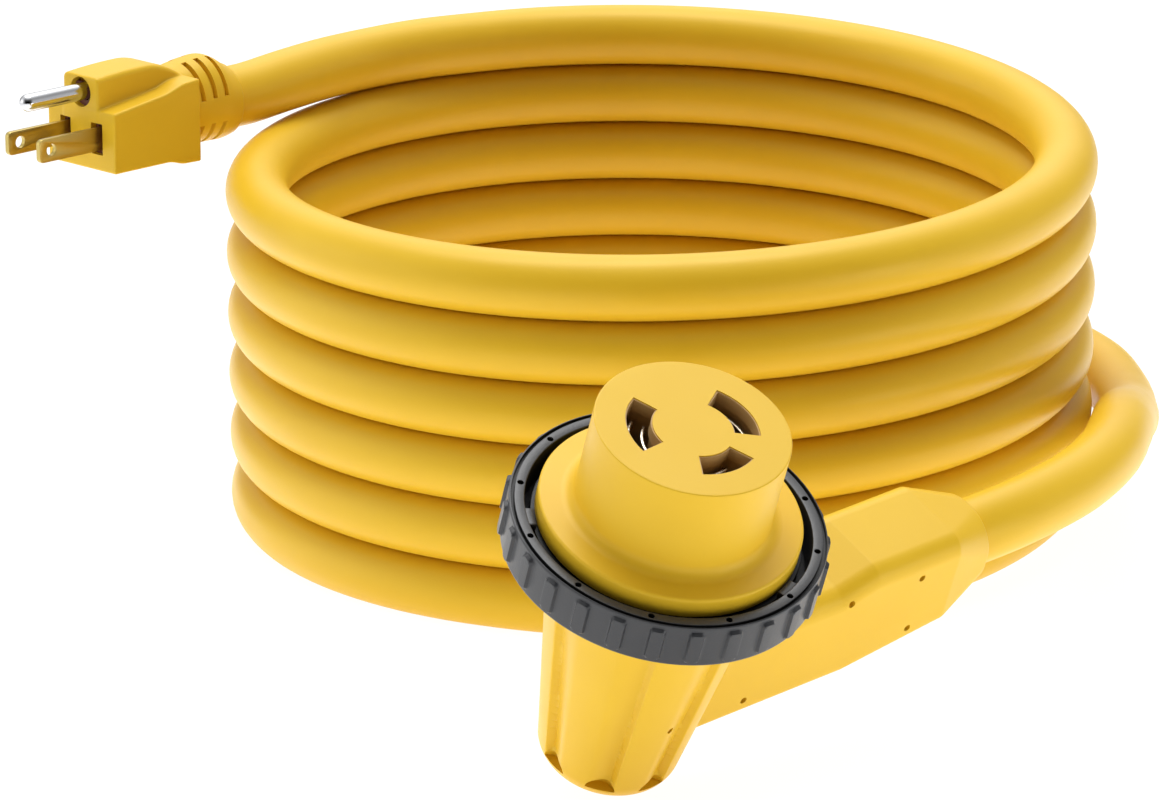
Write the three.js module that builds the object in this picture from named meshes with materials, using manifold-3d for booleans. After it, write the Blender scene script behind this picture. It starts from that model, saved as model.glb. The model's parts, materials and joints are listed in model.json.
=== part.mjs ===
// A shore power cord: a heavy yellow cord wound into an upright coil, with a grounded household
// plug on its upper end and a right-angle locking connector on its lower end.
// Millimetres, +Z up. While it is laid out, the coil stands at x = y = 0. The finished group is
// then moved, so that the origin lies under the middle of the connector, on the floor.

import * as THREE from 'three';
import { mergeVertices } from 'three/addons/utils/BufferGeometryUtils.js';
import Module from 'manifold-3d';

const wasm = await Module();
wasm.setup();

const { PI, cos, sin, hypot } = Math;
const radians = THREE.MathUtils.degToRad;

// ------------------------------------------------------------------ sizes

// Clearances
const GAP = 0.3; // between pieces that touch
const RUN = 0.6; // round the ring, which turns
const SLIDE = 0.4; // beside a contact in its pocket
const OVERCUT = 1; // how far a cut starts outside the surface that it opens

// Cord: three insulated conductors in a round jacket
const CORD_DIAMETER = 16.5;
const CONDUCTOR_DIAMETER = 4.4;
const CONDUCTOR_CIRCLE = 4.3; // radius on which the conductors lie in the cord
const CONDUCTOR_LEAD = 4; // straight stretch before a conductor bends

// Coil: one helix that leans a little forward, onto its lowest half turn
const COIL_RADIUS = 108.56;
const TURN_GAP = 0.45; // between one turn and the next
const COIL_LEAN = radians(2.24);
const COIL_FOOT = new THREE.Vector3(0, 3.66, 0.07); // where the coil's axis meets the floor
const COIL_START = radians(105); // bearing of the lowest point of the centre line
const COIL_SWEEP = radians(2175);
const COIL_LOW_POINT = 4.3; // height of the lowest point along the coil's axis
const COIL_STEP = radians(15);

// Connector: its barrel leans, and the cable arm leaves it square to the barrel
const NOSE_PLACE = [3.83, -259.23]; // where the middle of the nose stands over the floor
const BARREL_LEAN = radians(26.45);
const LEAN_BEARING = radians(-64.34);
const ARM_BEARING = radians(39.95); // of the arm, round the barrel's axis

// Nose and flange, heights measured from the nose's face
const NOSE_RADIUS = 23.1;
const NOSE_HEIGHT = 24.6;
const NOSE_CHAMFER = 0.6;
const NOSE_ROOT_FILLET = 3;
const NOSE_WALL = 4.7;
const FACE_THICKNESS = 3.2;
const FLANGE_RADIUS = 31.2;
const FLANGE_THICKNESS = 5.4;
const SPIGOT_WALL = 2.1;
const SPIGOT_DEPTH = 9.6;

// The three curved slots, as bearings from the arm
const SLOT_RADIUS = 12.65;
const SLOT_WIDTH = 6.3;
const SLOTS = [
	{ name: 'ground', from: radians(-35), to: radians(31) },
	{ name: 'neutral', from: radians(113), to: radians(185) },
	{ name: 'line', from: radians(-121), to: radians(-66) },
];

// Contacts: two curved leaves on a base, with a crimp tail
const POCKET_DEPTH = 22.5;
const CARRIER_LENGTH = 42.5;
const LEAF_THICKNESS = 0.9;
const LEAF_SPACE = 2.6; // between the two leaves
const LEAF_SINK = 3.4; // from the carrier's face down to the leaves
const BASE_THICKNESS = 1.2;
const TAIL_RADIUS = 2.7;
const TAIL_LENGTH = 24.5;

// Locking ring
const RIM_CLEARANCE = 2.7; // between the flange and the rim
const RIM_WALL = 3.7;
const RING_TOP = 2.8; // below the top of the flange
const RING_HEIGHT = 11.6;
const RING_CHAMFER = 0.5;
const WEB_THICKNESS = 3.5;
const GROOVE_CLEARANCE = 0.8; // between the flange and the groove's inner wall
const GROOVE_FLOOR = 2.5;
const COLLAR_CLEARANCE = 0.9; // between the barrel's shoulder and the ring's collar
const LUG_ANGLE = radians(10);
const LUG_THICKNESS = 2;
const LUG_SINK = 0.8;
const LUG_BEARINGS = [radians(152.7), radians(41), radians(-70.3)];
const RIB_COUNT = 26;
const RIB_WIDTH = 3.4;
const RIB_HEIGHT = 8.8;
const RIB_RISE = 0.9;
const RIB_ROOT = 2; // how deep a rib reaches into the rim

// Barrel below the ring
const SHOULDER_RADIUS = 27.1;
const BARREL_LENGTH = 64; // from the shoulder to where the bottom edge begins to round
const BARREL_TIP_RADIUS = 17.3;
const BARREL_FILLET = 6.6;
const BARREL_WALL = 5.4;
const BARREL_FLOOR = 15;
const CHAMBER_STEP = 1; // from the spigot's end down to the wire chamber
const FLUTE_COUNT = 8;
const FLUTE_TOP_DEPTH = 0.9;
const FLUTE_TIP_DEPTH = 2;
const FLUTE_END = 2; // above where the bottom edge begins to round

// Cable arm
const ARM_SIDE_WALL = 3.65; // beside the cord
const ARM_CROWN = 5.7; // above and below the cord
const ARM_LENGTH = 105.3; // from the barrel's axis
const ARM_DROP = 40; // from the barrel's shoulder to the arm's axis
const ARM_FILLET = 3.5;
const ARM_STEP = 4; // the arm is lower than its full height next to the barrel
const ARM_STEP_START = 50;
const ARM_STEP_END = 67.3;
const ARM_NOSE_LENGTH = 17;
const ARM_TIP_WALL = 1.65;
const ARM_STRIP = 20; // where the jacket ends, from the barrel's axis

// Plug, measured from its face
const PLUG_PLACE = [-155, -6.3, 108.5]; // middle of the face
const PLUG_BEARING = radians(225.2);
const PLUG_HALF_WIDTH = 13.6;
const PLUG_BOTTOM = 9.3;
const PLUG_FRONT_TOP = 7.1;
const PLUG_BACK_TOP = 12;
const PLUG_LENGTH = 30.6;
const PLUG_SWELL = 1.5; // how far the body's bottom drops towards its back
const PLUG_SWELL_START = 20;
const PLUG_SWELL_LENGTH = 4;
const PLUG_WALL = 2;
const PLUG_FACE_THICKNESS = 1.4;
const TOWER_HALF_WIDTH = 7;
const TOWER_TOP = 15.9;
const TOWER_PEAK = 16.7;
const TOWER_PEAK_BACK = 17.5;
const BLADE_SPACING = 12.7;
const BLADE_WIDTH = 6.35;
const BLADE_THICKNESS = 1.5;
const BLADE_REACH = 20.6;
const BLADE_LEVEL = -0.6;
const BLADE_CHAMFER = 1.2;
const BLADE_HOLE = 3.2;
const BLADE_HOLE_INSET = 4.1;
const PIN_DIAMETER = 4.75;
const PIN_RISE = 11.9; // above the blades
const PRONG_TAIL = 20; // behind the face
const CRIMP_LENGTH = 8;
const CRIMP_RADIUS = 2.6;
const CRIMP_LAP = 7; // of a blade in its crimp
const WINDOW_ROOM = 1.45; // beside a blade, in its window in the face
const WINDOW_HEAD = 1.12; // above and below a blade
const PIN_WINDOW_ROOM = 1.7;
const BRIDGE_THICKNESS = 7.5;
const CAVITY_END = 27;
const PLUG_STRIP = 30; // where the jacket ends

// Strain relief of the plug, as walls round the cord
const RELIEF_LENGTH = 20;
const RELIEF_LEVEL = 1; // of the cord, above the middle of the face
const RELIEF_RISE = 1.5; // of the thick part's middle, above the cord's
const RELIEF_SIDE_WALL = 2.25;
const RELIEF_CROWN = 3.45;
const RELIEF_TIP_SIDE_WALL = 0.75;
const RELIEF_TIP_CROWN = 1.15;
const RELIEF_TAPER = [[-0.15, 0], [0.6, 0], [0.85, 0.5], [1, 1]]; // share of length, of taper
const RELIEF_SLOT_WIDTH = 1.6;
const RELIEF_SLOT_DEPTH = 1.3;
const RELIEF_SLOT_PITCH = 4.1;
const RELIEF_SLOT_START = 2.8;
const RELIEF_SLOT_COUNT = 3;
const RELIEF_SLOT_ARCS = [[10, 80], [100, 170], [205, 245], [295, 335]]; // degrees

// Free cord between the arm and the coil, and between the coil and the plug
const LOOP_POINTS = [
	[101.0, -132.8, 47.9], [111.9, -108.1, 48.3], [117.4, -81.8, 46.8], [120.8, -55.4, 42.1],
	[124.1, -29.4, 35.3], [126.4, -3.2, 29.3], [127.1, 23.7, 26.6], [123.5, 50.4, 26.6],
	[113.4, 75.4, 26.0], [96.7, 96.4, 23.0], [75.2, 112.0, 18.1], [50.3, 121.4, 13.2],
	[23.3, 122.6, 9.6],
];
const TAIL_POINTS = [[-83.2, 73.9, 110.7], [-93.9, 60.3, 110.8], [-104.4, 46.2, 110.3]];

// Facets
const ROUND = 48;
const SMALL_ROUND = 16;
const FINE_ROUND = 10;

// ------------------------------------------------------- sizes worked out

const cordRadius = CORD_DIAMETER / 2;
const coilPitch = CORD_DIAMETER + TURN_GAP;
const conductorRadius = CONDUCTOR_DIAMETER / 2;
const cordBore = cordRadius + GAP;

const slotInner = SLOT_RADIUS - SLOT_WIDTH / 2;
const slotOuter = SLOT_RADIUS + SLOT_WIDTH / 2;
const noseBore = NOSE_RADIUS - NOSE_WALL;
const carrierRadius = noseBore - GAP;
const carrierTop = -FACE_THICKNESS - GAP;
const pocketFloor = carrierTop - POCKET_DEPTH;
const contactFoot = pocketFloor + GAP;
const tailEnd = contactFoot - TAIL_LENGTH;
const flangeBottom = -NOSE_HEIGHT - FLANGE_THICKNESS;
const webTop = flangeBottom - RUN;
const webBottom = webTop - WEB_THICKNESS;
const shoulder = webBottom - RUN;
const webBore = NOSE_RADIUS + RUN;
const collarBore = SHOULDER_RADIUS + COLLAR_CLEARANCE;
const grooveRadius = FLANGE_RADIUS + GROOVE_CLEARANCE;
const rimBore = FLANGE_RADIUS + RIM_CLEARANCE;
const ringRadius = rimBore + RIM_WALL;
const ringTop = -NOSE_HEIGHT - RING_TOP;
const ringBottom = ringTop - RING_HEIGHT;
const spigotRadius = noseBore + SPIGOT_WALL;
const spigotBottom = shoulder - SPIGOT_DEPTH;
const barrelTip = shoulder - BARREL_LENGTH;
const barrelBottom = barrelTip - BARREL_FILLET;
const cableLevel = shoulder - ARM_DROP;
const armHalfWidth = cordBore + ARM_SIDE_WALL;
const armHalfHeight = cordBore + ARM_CROWN;
const armTipRadius = cordBore + ARM_TIP_WALL;

const bladeInset = BLADE_SPACING / 2;
const pinRadius = PIN_DIAMETER / 2;
const pinLevel = BLADE_LEVEL + PIN_RISE;
const plugRoom = PLUG_HALF_WIDTH - PLUG_WALL;
const plugRoomBottom = PLUG_WALL - PLUG_BOTTOM;
const plugRoomTop = PLUG_FRONT_TOP - PLUG_WALL;
const towerRoom = TOWER_HALF_WIDTH - PLUG_WALL;
const towerRoomTop = TOWER_TOP - PLUG_WALL;
const bridgeFront = PLUG_FACE_THICKNESS + GAP;
const bridgeBack = bridgeFront + BRIDGE_THICKNESS;
const plugEnd = PLUG_LENGTH + RELIEF_LENGTH;

// ---------------------------------------------------------------- solids

// A closed body from any closed geometry: shared corners merged, faces outward.
function solid(geometry) {
	const bare = geometry.clone();
	bare.deleteAttribute('normal');
	bare.deleteAttribute('uv');
	const merged = mergeVertices(bare, 1e-3);
	const corners = merged.index.array;
	const place = merged.attributes.position.array;
	const faces = [];
	let volume = 0;
	for (let i = 0; i < corners.length; i += 3) {
		const [a, b, c] = [corners[i], corners[i + 1], corners[i + 2]];
		if (a === b || b === c || c === a) continue;
		const [p, q, r] = [a, b, c].map((k) => new THREE.Vector3().fromArray(place, 3 * k));
		volume += p.dot(q.cross(r));
		faces.push(a, b, c);
	}
	if (volume < 0) faces.reverse();
	const mesh = new wasm.Mesh({
		numProp: 3,
		vertProperties: new Float32Array(place),
		triVerts: new Uint32Array(faces),
	});
	return new wasm.Manifold(mesh);
}

function geometryOf(body) {
	const mesh = body.getMesh();
	const geometry = new THREE.BufferGeometry();
	const place = new THREE.BufferAttribute(new Float32Array(mesh.vertProperties), 3);
	geometry.setAttribute('position', place);
	geometry.setIndex(new THREE.BufferAttribute(new Uint32Array(mesh.triVerts), 1));
	return geometry;
}

const join = (first, ...others) => others.reduce((sum, body) => sum.add(body), first);
const cut = (first, ...others) => others.reduce((rest, body) => rest.subtract(body), first);

// A turned piece round +Z from [radius, height] pairs, which start and end on the axis or meet.
function turned(profile, segments = ROUND) {
	const points = profile.map(([radius, height]) => new THREE.Vector2(radius, height));
	return solid(new THREE.LatheGeometry(points, segments).rotateX(PI / 2));
}

function outline(points) {
	return new THREE.Shape(points.map(([x, y]) => new THREE.Vector2(x, y)));
}

// A flat shape, from its lowest height to its highest.
function plateGeometry(shape, bottom, top, curveSegments) {
	const options = { depth: top - bottom, bevelEnabled: false, curveSegments };
	return new THREE.ExtrudeGeometry(shape, options).translate(0, 0, bottom);
}

const plate = (shape, bottom, top, curveSegments = 12) =>
	solid(plateGeometry(shape, bottom, top, curveSegments));

// Part of a flat ring between two bearings.
function sector(inner, outer, from, to) {
	const shape = new THREE.Shape();
	shape.absarc(0, 0, outer, from, to, false);
	shape.absarc(0, 0, inner, to, from, true);
	shape.closePath();
	return shape;
}

// A box by its lowest and highest corner.
function block(low, high) {
	const size = high.map((value, i) => value - low[i]);
	const middle = high.map((value, i) => (value + low[i]) / 2);
	return solid(new THREE.BoxGeometry(...size).translate(...middle));
}

// A round bar along X, between two x positions.
function barAlongX(radius, from, to, y, z, segments = SMALL_ROUND) {
	const bar = new THREE.CylinderGeometry(radius, radius, to - from, segments);
	return solid(bar.rotateZ(PI / 2).translate((from + to) / 2, y, z));
}

// A round bar along Z, between two heights.
function barAlongZ(radius, bottom, top, x, y, segments = SMALL_ROUND) {
	const bar = new THREE.CylinderGeometry(radius, radius, top - bottom, segments);
	return solid(bar.rotateX(PI / 2).translate(x, y, (bottom + top) / 2));
}

// A skin through rings of equally many points, closed by a flat fan at each end.
function skin(rings) {
	const count = rings[0].length;
	const place = rings.flat().flatMap((point) => point.toArray());
	const faces = [];
	for (let ring = 0; ring + 1 < rings.length; ring++) {
		for (let i = 0; i < count; i++) {
			const here = ring * count + i;
			const next = ring * count + ((i + 1) % count);
			faces.push(here, next, next + count, here, next + count, here + count);
		}
	}
	for (const [ring, turn] of [[0, 1], [rings.length - 1, -1]]) {
		const middle = place.length / 3;
		const centre = new THREE.Vector3();
		rings[ring].forEach((point) => centre.addScaledVector(point, 1 / count));
		place.push(...centre.toArray());
		for (let i = 0; i < count; i++) {
			const here = ring * count + i;
			const next = ring * count + ((i + 1) % count);
			faces.push(middle, ...(turn > 0 ? [next, here] : [here, next]));
		}
	}
	const geometry = new THREE.BufferGeometry();
	geometry.setAttribute('position', new THREE.Float32BufferAttribute(place, 3));
	geometry.setIndex(faces);
	return geometry;
}

// A round tube along a curve.
function tube(curve, radius, sides, steps) {
	const corners = Array.from({ length: sides }, (_, i) => {
		const angle = (2 * PI * (i + 0.5)) / sides;
		return [radius * cos(angle), radius * sin(angle)];
	});
	const options = { steps, bevelEnabled: false, extrudePath: curve };
	return solid(new THREE.ExtrudeGeometry(outline(corners), options));
}

const throughPoints = (points) => new THREE.CatmullRomCurve3(points, false, 'centripetal');

// -------------------------------------------------------------- finishes

const finish = (color, roughness, metalness) => ({ color, roughness, metalness });
const YELLOW_VINYL = finish(0xf5bd3a, 0.5, 0);
const RING_PLASTIC = finish(0x4b4c4e, 0.45, 0);
const BROWN_INSULATOR = finish(0x6b3f2a, 0.6, 0);
const BRASS = finish(0xa08a4a, 0.35, 1);
const NICKEL = finish(0xc8c8c6, 0.25, 1);
const WIRE_LOOKS = {
	ground: finish(0x2f8a45, 0.5, 0),
	neutral: finish(0xe8e6e0, 0.5, 0),
	line: finish(0x1f1f20, 0.5, 0),
};

function piece(parent, name, body, look) {
	const mesh = new THREE.Mesh(geometryOf(body), new THREE.MeshStandardMaterial(look));
	mesh.name = name;
	parent.add(mesh);
}

// -------------------------------------------------------------- connector

// In the connector's own frame +Z is the barrel's axis, +X the arm, and z = 0 the nose's face.

function socketFront() {
	const fillet = [0, 1, 2, 3].map((i) => {
		const angle = (i / 3) * (PI / 2);
		return [
			NOSE_RADIUS + NOSE_ROOT_FILLET * (1 - cos(angle)),
			-NOSE_HEIGHT + NOSE_ROOT_FILLET * (1 - sin(angle)),
		];
	});
	const body = turned([
		[0, 0],
		[NOSE_RADIUS - NOSE_CHAMFER, 0],
		[NOSE_RADIUS, -NOSE_CHAMFER],
		...fillet,
		[FLANGE_RADIUS, -NOSE_HEIGHT],
		[FLANGE_RADIUS, flangeBottom],
		[NOSE_RADIUS, flangeBottom],
		[NOSE_RADIUS, shoulder + GAP],
		[spigotRadius, shoulder + GAP],
		[spigotRadius, spigotBottom],
		[0, spigotBottom],
	]);
	const bore = barAlongZ(noseBore, spigotBottom - OVERCUT, -FACE_THICKNESS, 0, 0, ROUND);
	const slots = SLOTS.map(({ from, to }) =>
		plate(sector(slotInner, slotOuter, from, to), -FACE_THICKNESS - OVERCUT, OVERCUT));
	return cut(body, bore, ...slots);
}

function onSlotCircle({ from, to }) {
	const bearing = (from + to) / 2;
	return [SLOT_RADIUS * cos(bearing), SLOT_RADIUS * sin(bearing)];
}

function contactCarrier() {
	const bottom = carrierTop - CARRIER_LENGTH;
	const body = barAlongZ(carrierRadius, bottom, carrierTop, 0, 0, ROUND);
	const side = SLIDE / SLOT_RADIUS;
	const pockets = SLOTS.map(({ from, to }) => {
		const shape = sector(slotInner - SLIDE, slotOuter + SLIDE, from - side, to + side);
		return plate(shape, pocketFloor, carrierTop + OVERCUT);
	});
	const [low, high] = [bottom - OVERCUT, pocketFloor + OVERCUT];
	const holes = SLOTS.map((slot) =>
		barAlongZ(TAIL_RADIUS + GAP, low, high, ...onSlotCircle(slot)));
	return cut(body, ...pockets, ...holes);
}

function contact(slot) {
	const side = (3 * SLIDE) / SLOT_RADIUS;
	const ends = [slot.from + side, slot.to - side];
	const inner = SLOT_RADIUS - LEAF_SPACE / 2;
	const outer = SLOT_RADIUS + LEAF_SPACE / 2;
	const top = carrierTop - LEAF_SINK;
	const [innermost, outermost] = [inner - LEAF_THICKNESS, outer + LEAF_THICKNESS];
	const baseTop = contactFoot + BASE_THICKNESS;
	return join(
		plate(sector(innermost, outermost, ...ends), contactFoot, baseTop, 8),
		plate(sector(innermost, inner, ...ends), contactFoot, top, 8),
		plate(sector(outer, outermost, ...ends), contactFoot, top, 8),
		barAlongZ(TAIL_RADIUS, tailEnd, contactFoot + BASE_THICKNESS / 2, ...onSlotCircle(slot)),
	);
}

function lockingRing() {
	const profile = [
		[rimBore, ringTop],
		[ringRadius - RING_CHAMFER, ringTop],
		[ringRadius, ringTop - RING_CHAMFER],
		[ringRadius, ringBottom + RING_CHAMFER],
		[ringRadius - RING_CHAMFER, ringBottom],
		[collarBore, ringBottom],
		[collarBore, webBottom],
		[webBore, webBottom],
		[webBore, webTop],
		[grooveRadius, webTop],
		[grooveRadius, ringBottom + GROOVE_FLOOR],
		[rimBore, ringBottom + GROOVE_FLOOR],
	];
	const rim = turned([...profile, profile[0]], 2 * RIB_COUNT);
	const lugTop = ringTop - LUG_SINK;
	const lugs = LUG_BEARINGS.map((bearing) => {
		const ends = [bearing - LUG_ANGLE / 2, bearing + LUG_ANGLE / 2];
		const shape = sector(FLANGE_RADIUS + RUN, rimBore + OVERCUT, ...ends);
		return plate(shape, lugTop - LUG_THICKNESS, lugTop, 3);
	});
	const ribs = Array.from({ length: RIB_COUNT }, (_, i) => {
		const rib = new THREE.BoxGeometry(RIB_ROOT + RIB_RISE, RIB_WIDTH, RIB_HEIGHT);
		rib.translate(ringRadius + (RIB_RISE - RIB_ROOT) / 2, 0, (ringTop + ringBottom) / 2);
		return solid(rib.rotateZ(((i + 0.5) * 2 * PI) / RIB_COUNT));
	});
	return join(rim, ...lugs, ...ribs);
}

// The barrel's radius at a height below the shoulder, before its fillet and flutes.
function barrelRadius(height) {
	const share = (shoulder - height) / BARREL_LENGTH;
	return SHOULDER_RADIUS + share * (BARREL_TIP_RADIUS - SHOULDER_RADIUS);
}

// One ring of the barrel: round, with shallow flutes of the given depth. Each flute takes up
// the middle half of its share of the ring.
function barrelRing(radius, height, depth) {
	const perFlute = 8;
	return Array.from({ length: FLUTE_COUNT * perFlute }, (_, i) => {
		const across = ((i + perFlute / 2) % perFlute) - perFlute / 2; // from a flute's middle
		const dip = Math.abs(across) >= perFlute / 4 ? 0 : cos((across * PI) / 4) ** 2;
		const bearing = (i * 2 * PI) / (FLUTE_COUNT * perFlute);
		const reach = radius - depth * dip;
		return new THREE.Vector3(reach * cos(bearing), reach * sin(bearing), height);
	});
}

function barrel() {
	const fillet = [0, 1, 2, 3].map((i) => {
		const angle = (i / 3) * (PI / 2);
		const radius = BARREL_TIP_RADIUS - BARREL_FILLET * (1 - cos(angle));
		return barrelRing(radius, barrelTip - BARREL_FILLET * sin(angle), 0);
	});
	const fluteEnd = barrelTip + FLUTE_END;
	return solid(skin([
		barrelRing(SHOULDER_RADIUS, shoulder, FLUTE_TOP_DEPTH),
		barrelRing(barrelRadius(fluteEnd), fluteEnd, FLUTE_TIP_DEPTH),
		...fillet,
	]));
}

// A rounded rectangle square to X, round the arm's axis.
function armRing(x, halfWidth, top, bottom, radius) {
	const corners = [[1, 1], [-1, 1], [-1, -1], [1, -1]];
	const perCorner = 4;
	return corners.flatMap(([side, rise], corner) =>
		Array.from({ length: perCorner }, (_, i) => {
			const angle = (corner + i / (perCorner - 1)) * (PI / 2);
			const y = side * (halfWidth - radius) + radius * cos(angle);
			const z = (rise > 0 ? top - radius : radius - bottom) + radius * sin(angle);
			return new THREE.Vector3(x, y, cableLevel + z);
		}));
}

function arm() {
	const low = armHalfHeight - ARM_STEP;
	const tipStart = ARM_LENGTH - ARM_NOSE_LENGTH;
	const nose = [0.45, 0.78, 1].map((share) => {
		const radius = ARM_FILLET + share * (armTipRadius - ARM_FILLET);
		const ease = share ** 2;
		const width = armHalfWidth + ease * (armTipRadius - armHalfWidth);
		const height = armHalfHeight + ease * (armTipRadius - armHalfHeight);
		return armRing(tipStart + share * ARM_NOSE_LENGTH, width, height, height, radius);
	});
	return solid(skin([
		armRing(0, armHalfWidth, low, armHalfHeight, ARM_FILLET),
		armRing(ARM_STEP_START, armHalfWidth, low, armHalfHeight, ARM_FILLET),
		armRing(ARM_STEP_END, armHalfWidth, armHalfHeight, armHalfHeight, ARM_FILLET),
		armRing(tipStart, armHalfWidth, armHalfHeight, armHalfHeight, ARM_FILLET),
		...nose,
	]));
}

function connectorBody() {
	const chamberTop = spigotBottom - CHAMBER_STEP;
	const chamberFloor = barrelBottom + BARREL_FLOOR;
	const chamber = turned([
		[0, chamberFloor],
		[barrelRadius(chamberFloor) - BARREL_WALL, chamberFloor],
		[barrelRadius(chamberTop) - BARREL_WALL, chamberTop],
		[spigotRadius + GAP, chamberTop],
		[spigotRadius + GAP, shoulder + OVERCUT],
		[0, shoulder + OVERCUT],
	]);
	const bore = barAlongX(cordBore, 0, ARM_LENGTH + OVERCUT, 0, cableLevel);
	return cut(join(barrel(), arm()), chamber, bore);
}

const connectorCordEnd = () =>
	barAlongX(cordRadius, ARM_STRIP, ARM_LENGTH - GAP, 0, cableLevel);

// Where a conductor comes out of the stripped cord, across the cord's axis.
function conductorAt(bearing) {
	return [CONDUCTOR_CIRCLE * cos(bearing), CONDUCTOR_CIRCLE * sin(bearing)];
}

// A conductor from the stripped cord in the arm to the tail of its contact.
function connectorWire(slot, bearing) {
	const [x, y] = onSlotCircle(slot);
	const [across, rise] = conductorAt(bearing);
	const start = ARM_STRIP - GAP;
	const bend = start - CONDUCTOR_LEAD;
	const level = cableLevel + rise;
	const end = tailEnd - GAP;
	const curve = throughPoints([
		new THREE.Vector3(start, across, level),
		new THREE.Vector3(bend, across, level),
		new THREE.Vector3((bend + x) / 2, (across + y) / 2, level + 1),
		new THREE.Vector3(x, y, (level + end) / 2),
		new THREE.Vector3(x, y, end - CONDUCTOR_LEAD),
		new THREE.Vector3(x, y, end),
	]);
	return tube(curve, conductorRadius, FINE_ROUND, 16);
}

const connector = new THREE.Group();
piece(connector, 'connector_body', connectorBody(), YELLOW_VINYL);
piece(connector, 'socket_front', socketFront(), YELLOW_VINYL);
piece(connector, 'contact_carrier', contactCarrier(), BROWN_INSULATOR);
piece(connector, 'locking_ring', lockingRing(), RING_PLASTIC);
const conductorBearings = { ground: PI / 2, line: (-5 * PI) / 6, neutral: -PI / 6 };
for (const slot of SLOTS) {
	const { name } = slot;
	const wire = connectorWire(slot, conductorBearings[name]);
	piece(connector, `contact_${name}`, contact(slot), BRASS);
	piece(connector, `connector_wire_${name}`, wire, WIRE_LOOKS[name]);
}
piece(connector, 'connector_cord_end', connectorCordEnd(), YELLOW_VINYL);

const leanAxis = new THREE.Vector3(-sin(LEAN_BEARING), cos(LEAN_BEARING), 0);
const upright = new THREE.Vector3(0, 0, 1);
connector.quaternion.setFromAxisAngle(leanAxis, BARREL_LEAN);
connector.quaternion.multiply(new THREE.Quaternion().setFromAxisAngle(upright, ARM_BEARING));
connector.position.set(...NOSE_PLACE, 0);
connector.updateMatrixWorld(true);
const connectorBox = new THREE.Box3().setFromObject(connector, true);
connector.position.z -= connectorBox.min.z;
connector.updateMatrixWorld(true);

// ------------------------------------------------------------------- plug

// In the plug's own frame +X is the way it points, +Z up, and x = 0 its face.

// A side view, from the right side of the plug to its left.
function sideView(shape, halfWidth) {
	const body = plateGeometry(shape, -halfWidth, halfWidth, 4);
	return solid(body.rotateX(PI / 2));
}

function plugTower() {
	const shape = new THREE.Shape();
	shape.moveTo(0, 0);
	shape.lineTo(0, TOWER_TOP);
	shape.quadraticCurveTo(-TOWER_PEAK_BACK / 2, TOWER_PEAK, -TOWER_PEAK_BACK, TOWER_PEAK);
	const shoulderBack = (TOWER_PEAK_BACK + PLUG_LENGTH) / 2;
	shape.quadraticCurveTo(-shoulderBack, TOWER_PEAK, -PLUG_LENGTH, PLUG_BACK_TOP);
	shape.lineTo(-PLUG_LENGTH, 0);
	return sideView(shape, TOWER_HALF_WIDTH);
}

// The plug's block, whose bottom drops a little towards the back.
function plugBlock() {
	const backBottom = -PLUG_BOTTOM - PLUG_SWELL;
	return sideView(outline([
		[0, PLUG_FRONT_TOP],
		[-PLUG_LENGTH, PLUG_BACK_TOP],
		[-PLUG_LENGTH, backBottom],
		[-PLUG_SWELL_START - PLUG_SWELL_LENGTH, backBottom],
		[-PLUG_SWELL_START, -PLUG_BOTTOM],
		[0, -PLUG_BOTTOM],
	]), PLUG_HALF_WIDTH);
}

// One ring of the strain relief: an oval round the cord, at a share of its length and taper.
function reliefRing([length, taper]) {
	const sideWall = RELIEF_SIDE_WALL + taper * (RELIEF_TIP_SIDE_WALL - RELIEF_SIDE_WALL);
	const crown = RELIEF_CROWN + taper * (RELIEF_TIP_CROWN - RELIEF_CROWN);
	const level = RELIEF_LEVEL + (1 - taper) * RELIEF_RISE;
	const back = PLUG_LENGTH + length * RELIEF_LENGTH;
	return Array.from({ length: 2 * SMALL_ROUND }, (_, i) => {
		const angle = (i * PI) / SMALL_ROUND;
		const y = (cordBore + sideWall) * cos(angle);
		return new THREE.Vector3(-back, y, level + (cordBore + crown) * sin(angle));
	});
}

// The shallow slots that let the relief bend.
function reliefSlots() {
	const halfWidth = cordBore + RELIEF_SIDE_WALL - RELIEF_SLOT_DEPTH;
	const halfHeight = cordBore + RELIEF_CROWN - RELIEF_SLOT_DEPTH;
	return RELIEF_SLOT_ARCS.flatMap(([from, to]) =>
		Array.from({ length: RELIEF_SLOT_COUNT }, (_, i) => {
			const back = PLUG_LENGTH + RELIEF_SLOT_START + i * RELIEF_SLOT_PITCH;
			const shape = sector(1, 1.5, radians(from), radians(to));
			const slot = plateGeometry(shape, 0, RELIEF_SLOT_WIDTH, 5);
			slot.scale(halfWidth, halfHeight, 1).rotateX(PI / 2).rotateZ(PI / 2);
			return solid(slot.translate(-back, 0, RELIEF_LEVEL + RELIEF_RISE));
		}));
}

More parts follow.
